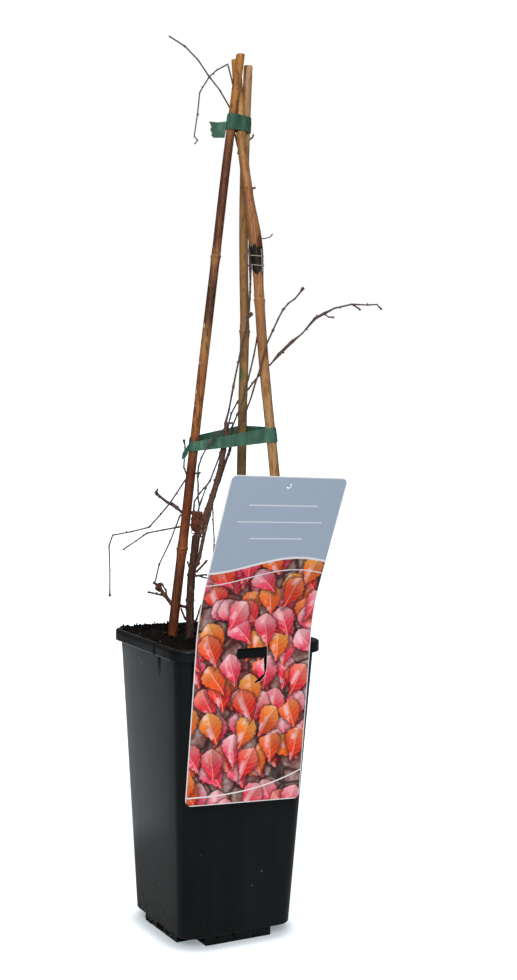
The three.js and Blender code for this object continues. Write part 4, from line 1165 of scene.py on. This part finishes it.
def scrap_skin(outline, back, bend):
    """A loose end of tape: its outline is across and up, and it bends towards the viewer."""
    low, high = min(a for a, _ in outline), max(a for a, _ in outline)
    middle_up = sum(u for _, u in outline) / len(outline)
    flat = cut_sheet([outline], (low, 0), (high, 0), SCRAP_STRIPS)
    bmesh.ops.recalc_face_normals(flat, faces=flat.faces[:])
    points, faces = [], []
    flat.verts.index_update()
    count = len(flat.verts)
    for out in (0, TAPE):
        for v in flat.verts:
            away = (high - v.co.x) / (high - low)
            ripple = 0.35 * noise.noise(Vector((v.co.x * 0.4, v.co.y * 0.3, 2)))
            tilt = 0.6 * (middle_up - v.co.y) * away
            points.append(at(v.co.x, back + out - bend * away * away + ripple + tilt, v.co.y))
    for face in flat.faces:
        ids = [v.index for v in face.verts]
        ids = ids if face.normal.z > 0 else ids[::-1]
        faces.append(tuple(ids))
        faces.append(tuple(i + count for i in ids[::-1]))
    for seam in flat.edges:
        if len(seam.link_faces) == 1:
            face = seam.link_faces[0]
            ids = [v.index for v in face.verts]
            a, b = (v.index for v in seam.verts)
            forward = (ids[(ids.index(a) + 1) % len(ids)] == b) == (face.normal.z > 0)
            a, b = (a, b) if forward else (b, a)
            faces.append((b, a, a + count, b + count))
    flat.free()
    return np.array(points) * MM, faces


tape_film = Finish("tape", 0.34)
weave = tape_film.noise(1, 4, tape_film.stretched((240, 240, 40)), rough=0.6)
cloud = tape_film.between(tape_film.noise(60, 3), 0.45, 0.75, 0, 0.6)
green = tape_film.ramp(weave, [(0.3, (36, 68, 54)), (0.55, (58, 100, 80)), (0.75, (92, 138, 112))])
tape_film.look("Base Color", tape_film.mix(cloud, green, paint(44, 78, 66)))
tape_film.bump(weave, 0.0006, 0.7)


def top_edges(across, _):
    """The top band slopes a little to the right, on both sides alike."""
    middle = TOP_LEVEL - 0.08 * (across - 10)
    return middle - TAPE_WIDTH / 2, middle + TAPE_WIDTH / 2


def middle_edges(across, far):
    """Lower and folded narrow where it passes the left cane, and taller there on its far side."""
    if across > 0:
        return MIDDLE_LEVEL - TAPE_WIDTH / 2, MIDDLE_LEVEL + TAPE_WIDTH / 2
    return 336, 342.8 + 3.6 * far


torn_tail = [
    (2.8, 564), (1.5, 563.6), (-4, 562.8), (-9.6, 563.1), (-8, 559.6), (-9, 558.1), (-7.6, 555.7),
    (-8.4, 554.5), (-6.6, 552.9), (1, 552.7), (1.8, 556.5),
]
folded_end = [(-21.5, 341), (-23, 338.4), (-25.4, 335), (-26.4, 329.6), (-23.2, 331.6), (-21.5, 334.6)]
top_skins = [band_skin(top_edges, TOP_LEVEL, 0.25), scrap_skin(torn_tail, -0.3, 0.6)]
tie_top = piece("tape_top", top_skins, tape_film, sharp=60)
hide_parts("tie_top")
middle_skins = [band_skin(middle_edges, 344, 0.35), scrap_skin(folded_end, 7.9, 0)]
tie_middle = piece("tape_middle", middle_skins, tape_film, sharp=60)
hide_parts("tie_middle")

# The card: a picture label die-cut from white plastic sheet and printed on its front. It hangs on
# the rim's skirt by a tongue cut from its middle, and is bent above the rim. The print is a plain
# autumn pattern of pointed leaves on stone, under a grey-blue field with three ruled lines.
CARD_WIDTH = 87.6
CARD_HEIGHT = 229.4
CARD_THICKNESS = 0.45
CARD_CORNER = 4.5
CARD_ROLL = math.radians(2.65)
CARD_REST = (-0.7, -RIM_SIDE / 2 - 1.1, 201)
CARD_MIDDLE = 15.2
CARD_FOOT_LEAN = math.radians(1.7)
CARD_TOP_LEAN = math.radians(20.8)
CARD_BEND = (11, 49)
CARD_STRIPS = 60
TONGUE = (-14, 8)
TONGUE_GAP = 1.2
TONGUE_ROWS = ((-20, -57.5), (-17, -57.4), (-12, -56.6), (-6, -55.9), (-2, -55.5), (4.4, -55.45))
TONGUE_STRIPS = 6
HANGER_DOWN = 6.5
HANGER_RADIUS = 1.9
HANGER_SLOT = 0.6
HEADER_WAVE = (0.045, 0.6, 6, 50)
FOOT_SWEEP = (2.6, 15, 109)
RULED_LINES = ((94, 26), (82, 32), (70, 20))
LEAF_LAYERS = 5
LEAF_CELL = 26.0
LEAF_SHARE = 0.74
LEAF_OUTLINE = ((0.08, 0.03), (0.25, 0.12), (0.45, 0.26), (0.62, 0.34), (0.8, 0.3), (0.93, 0.14))
LEAF_HUES = (
    [(0, (222, 6, 22)), (0.35, (250, 30, 54)), (0.65, (228, 12, 10)), (0.95, (246, 68, 12))],
    [(0, (255, 40, 70)), (0.35, (255, 80, 118)), (0.65, (255, 46, 26)), (0.95, (255, 120, 26))],
    [(0, (255, 158, 168)), (0.35, (255, 200, 208)), (0.65, (255, 118, 80)), (0.95, (252, 180, 84))],
)


def card_point(height):
    """Where the card's front is at a height up the sheet from the rim's skirt: y and z."""
    start, end = CARD_BEND
    radius = (end - start) / (CARD_TOP_LEAN - CARD_FOOT_LEAN)
    below = min(height, start)
    above = max(height - end, 0)
    lean = CARD_FOOT_LEAN + (min(max(height, start), end) - start) / radius
    out = below * math.sin(CARD_FOOT_LEAN) + above * math.sin(CARD_TOP_LEAN)
    out += radius * (math.cos(CARD_FOOT_LEAN) - math.cos(lean))
    up = below * math.cos(CARD_FOOT_LEAN) + above * math.cos(CARD_TOP_LEAN)
    up += radius * (math.sin(lean) - math.sin(CARD_FOOT_LEAN))
    return CARD_REST[1] - out, CARD_REST[2] + up


def from_sheet(x, y):
    """A point of the flat card, measured from its middle, where the bent and rolled card has it."""
    height = CARD_MIDDLE + y * math.cos(CARD_ROLL) - x * math.sin(CARD_ROLL)
    across = CARD_REST[0] + x * math.cos(CARD_ROLL) + y * math.sin(CARD_ROLL)
    depth, up = card_point(height)
    return Vector((across, depth, up))


def to_sheet(across, height):
    """The flat card's point that lies at a distance across the pot and a height up the sheet."""
    across, height = across - CARD_REST[0], height - CARD_MIDDLE
    x = across * math.cos(CARD_ROLL) - height * math.sin(CARD_ROLL)
    return x, across * math.sin(CARD_ROLL) + height * math.cos(CARD_ROLL)


def arc(x, y, radius, start, end, steps):
    """Points along an arc, its angles in degrees."""
    angles = [math.radians(start + (end - start) * i / steps) for i in range(steps + 1)]
    return [(x + radius * math.cos(a), y + radius * math.sin(a)) for a in angles]


half_width, half_height = CARD_WIDTH / 2, CARD_HEIGHT / 2
x, y = half_width - CARD_CORNER, half_height - CARD_CORNER
outline = arc(x, -y, CARD_CORNER, -90, 0, 8) + arc(x, y, CARD_CORNER, 0, 90, 8)
outline += arc(-x, y, CARD_CORNER, 90, 180, 8) + arc(-x, -y, CARD_CORNER, 180, 270, 8)
hanger = arc(0, half_height - HANGER_DOWN, HANGER_RADIUS, -150, 60, 14)
hanger += arc(0, half_height - HANGER_DOWN, HANGER_RADIUS - HANGER_SLOT, 60, -150, 14)
left, right = TONGUE[0], TONGUE[1] + TONGUE_GAP
around_tongue = [
    (left, 6.6), (left, -18), (right - 9, -18), (right - 4, -16.5), (right - 1, -13), (right, -8),
    (right, 6.6),
]
around_tongue = [to_sheet(x, y) for x, y in around_tongue]

sheet = cut_sheet([outline, hanger, around_tongue], (0, -half_height), (0, half_height), CARD_STRIPS)
sheet_uv = sheet.loops.layers.uv.new("flat")
for face in sheet.faces:
    if face.normal.z < 0:
        face.normal_flip()
    for loop in face.loops:
        loop[sheet_uv].uv = (loop.vert.co.x, loop.vert.co.y)
for v in sheet.verts:
    v.co = from_sheet(v.co.x, v.co.y) * MM
rows = []
for height, depth in TONGUE_ROWS:
    start, width = TONGUE[0] + 0.5, TONGUE[1] - TONGUE[0] - (8.5 if height < -16 else 0.5)
    across = [start + width * i / TONGUE_STRIPS for i in range(TONGUE_STRIPS + 1)]
    _, up = card_point(height)
    rows.append([(sheet.verts.new(Vector((x, depth, up)) * MM), to_sheet(x, height)) for x in across])
for low_row, high_row in zip(rows, rows[1:]):
    for i in range(TONGUE_STRIPS):
        corners = [low_row[i], low_row[i + 1], high_row[i + 1], high_row[i]]
        face = sheet.faces.new([v for v, _ in corners])
        for loop, (_, flat) in zip(face.loops, corners):
            loop[sheet_uv].uv = flat
card_mesh = bpy.data.meshes.new("label_card")
sheet.to_mesh(card_mesh)
sheet.free()

ink = Finish("card_print", 0.36)
flat = ink.node("UVMap", {}, uv_map="flat")
across, height, _ = ink.split(flat)


def leaf_layer(seed):
    """One scatter of pointed leaves that hang tip down: where they are, their shadow, their colour."""
    cells = ink.stretched((1 / LEAF_CELL,) * 3, flat)
    cells = ink.node("VectorMath", {0: cells, 1: (seed * 3.37, seed * 7.71, 0)}, operation="ADD")
    scatter = {"Vector": cells, "Scale": 1, "Randomness": 0.8}
    middle = ink.node("TexVoronoi", scatter, "Position", voronoi_dimensions="2D")
    chance = ink.node("TexWhiteNoise", {"Vector": middle}, out="Color")
    turn, tint, shade = (ink.node("SeparateColor", {0: chance}, out=k) for k in range(3))
    local = ink.node("VectorMath", {0: cells, 1: middle}, operation="SUBTRACT")
    turned = {"Vector": local, "Angle": turn * 1.5 - 0.75}
    x, y, _ = ink.split(ink.node("VectorRotate", turned, rotation_type="Z_AXIS"))
    x = x + ink.math("SINE", y * 4) * 0.06
    along, side = y + 0.5, abs(x)
    width = ink.node("FloatCurve", {"Value": along})
    mapping = width.socket.node.mapping
    mapping.curves[0].points[0].location = (0, 0)
    mapping.curves[0].points[1].location = (1, 0.02)
    for place in LEAF_OUTLINE:
        mapping.curves[0].points.new(*place)
    mapping.update()
    inward = width + ink.math("SINE", y * 48) * 0.014 - side
    mask = ink.between(inward, 0.0, 0.03) * ink.between(abs(y), 0.505, 0.48)
    shadow = ink.between(inward, -0.14, 0.05) * ink.between(abs(y), 0.6, 0.46)
    tips, middles, tops = (ink.ramp(tint, hues) for hues in LEAF_HUES)
    tone = ink.mix(ink.between(along, 0.05, 0.5), tips, middles)
    tone = ink.mix(ink.between(along, 0.45, 0.95), tone, tops)
    tone = ink.mix(ink.between(x, -0.02, 0.02, 0.0, 0.3), tone, paint(120, 8, 30))
    sheen = ink.between(x, -0.2, -0.1) * ink.between(x, 0.0, -0.06)
    sheen = sheen * ink.between(ink.noise(0.12, 2, flat), 0.45, 0.6, 0, 0.6)
    tone = ink.mix(sheen, tone, paint(255, 226, 232))
    ribs = ink.math("SINE", (y - side * 0.8) * 46)
    ribs = ink.math("MAXIMUM", ink.between(ribs, 0.9, 1.0, 0, 0.22), ink.between(side, 0.018, 0.006, 0, 0.5))
    tone = ink.mix(ribs, tone, paint(255, 206, 190))
    tone = ink.mix(ink.between(inward, 0.07, 0.0, 0, 0.45), tone, paint(110, 6, 26))
    present = ink.between(shade, LEAF_SHARE + 0.01, LEAF_SHARE)
    return mask * present, shadow * present, tone


def line_at(distance, outside, within):
    """A printed line, where a distance in millimetres is near 0."""
    return ink.between(abs(distance), outside, within)


stone = ink.noise(0.09, 5, flat, rough=0.65)
cracks = ink.node("TexVoronoi", {"Vector": flat, "Scale": 0.06}, feature="DISTANCE_TO_EDGE")
picture = ink.ramp(stone, [(0.3, (66, 34, 34)), (0.5, (150, 112, 106)), (0.7, (210, 190, 184))])
picture = ink.mix(ink.between(cracks, 0.09, 0.02, 0, 0.85), picture, paint(30, 16, 18))
for layer in range(LEAF_LAYERS):
    mask, shadow, tone = leaf_layer(layer + 1)
    picture = ink.mix(shadow * 0.85, picture, paint(36, 6, 12))
    picture = ink.mix(mask, picture, tone)
depth = ink.noise(0.05, 3, flat)
picture = ink.mix(ink.between(depth, 0.54, 0.36, 0, 0.3), picture, paint(120, 8, 20))
steep, shift, rise, level = HEADER_WAVE
over = height - (ink.math("SINE", across * steep + shift) * rise + level)
picture = ink.mix(ink.between(over, -0.1, 0.1), picture, paint(172, 187, 207))
picture = ink.mix(line_at(over, 0.85, 0.7), picture, paint(240, 242, 246))
picture = ink.mix(line_at(over + 9, 0.45, 0.3), picture, paint(236, 236, 240))
steep, rise, level = FOOT_SWEEP
sweep = ink.math("POWER", across * (1 / CARD_WIDTH) + 0.5, steep) * rise - level
picture = ink.mix(line_at(height - sweep, 0.55, 0.4), picture, paint(240, 236, 232))
for line_height, reach in RULED_LINES:
    ruled = line_at(height - line_height, 0.5, 0.38) * line_at(across, reach + 0.2, reach)
    picture = ink.mix(ruled, picture, paint(228, 232, 240))
rim_across = ink.between(abs(across), half_width - 0.7, half_width - 0.5)
rim_up = ink.between(abs(height), half_height - 0.7, half_height - 0.5)
picture = ink.mix(ink.math("MAXIMUM", rim_across, rim_up), picture, paint(236, 236, 238))
ink.look("Base Color", picture)
ink.look("Specular IOR Level", 0.3)

bare = Finish("card_back", 0.4)
smudge = bare.noise(30, 4)
bare.look("Base Color", bare.mix(bare.between(smudge, 0.5, 0.7), paint(238, 238, 236), paint(214, 212, 206)))
bare.bump(bare.noise(500), 0.00005)
card_mesh.materials.append(ink.material)
card_mesh.materials.append(bare.material)
card = bpy.data.objects.new("label_card", card_mesh)
bpy.context.scene.collection.objects.link(card)
thicken = card.modifiers.new("thickness", "SOLIDIFY")
thicken.thickness = CARD_THICKNESS * MM
thicken.offset = -1
thicken.material_offset = 1
thicken.material_offset_rim = 1
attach(card, "root")
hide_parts("label")
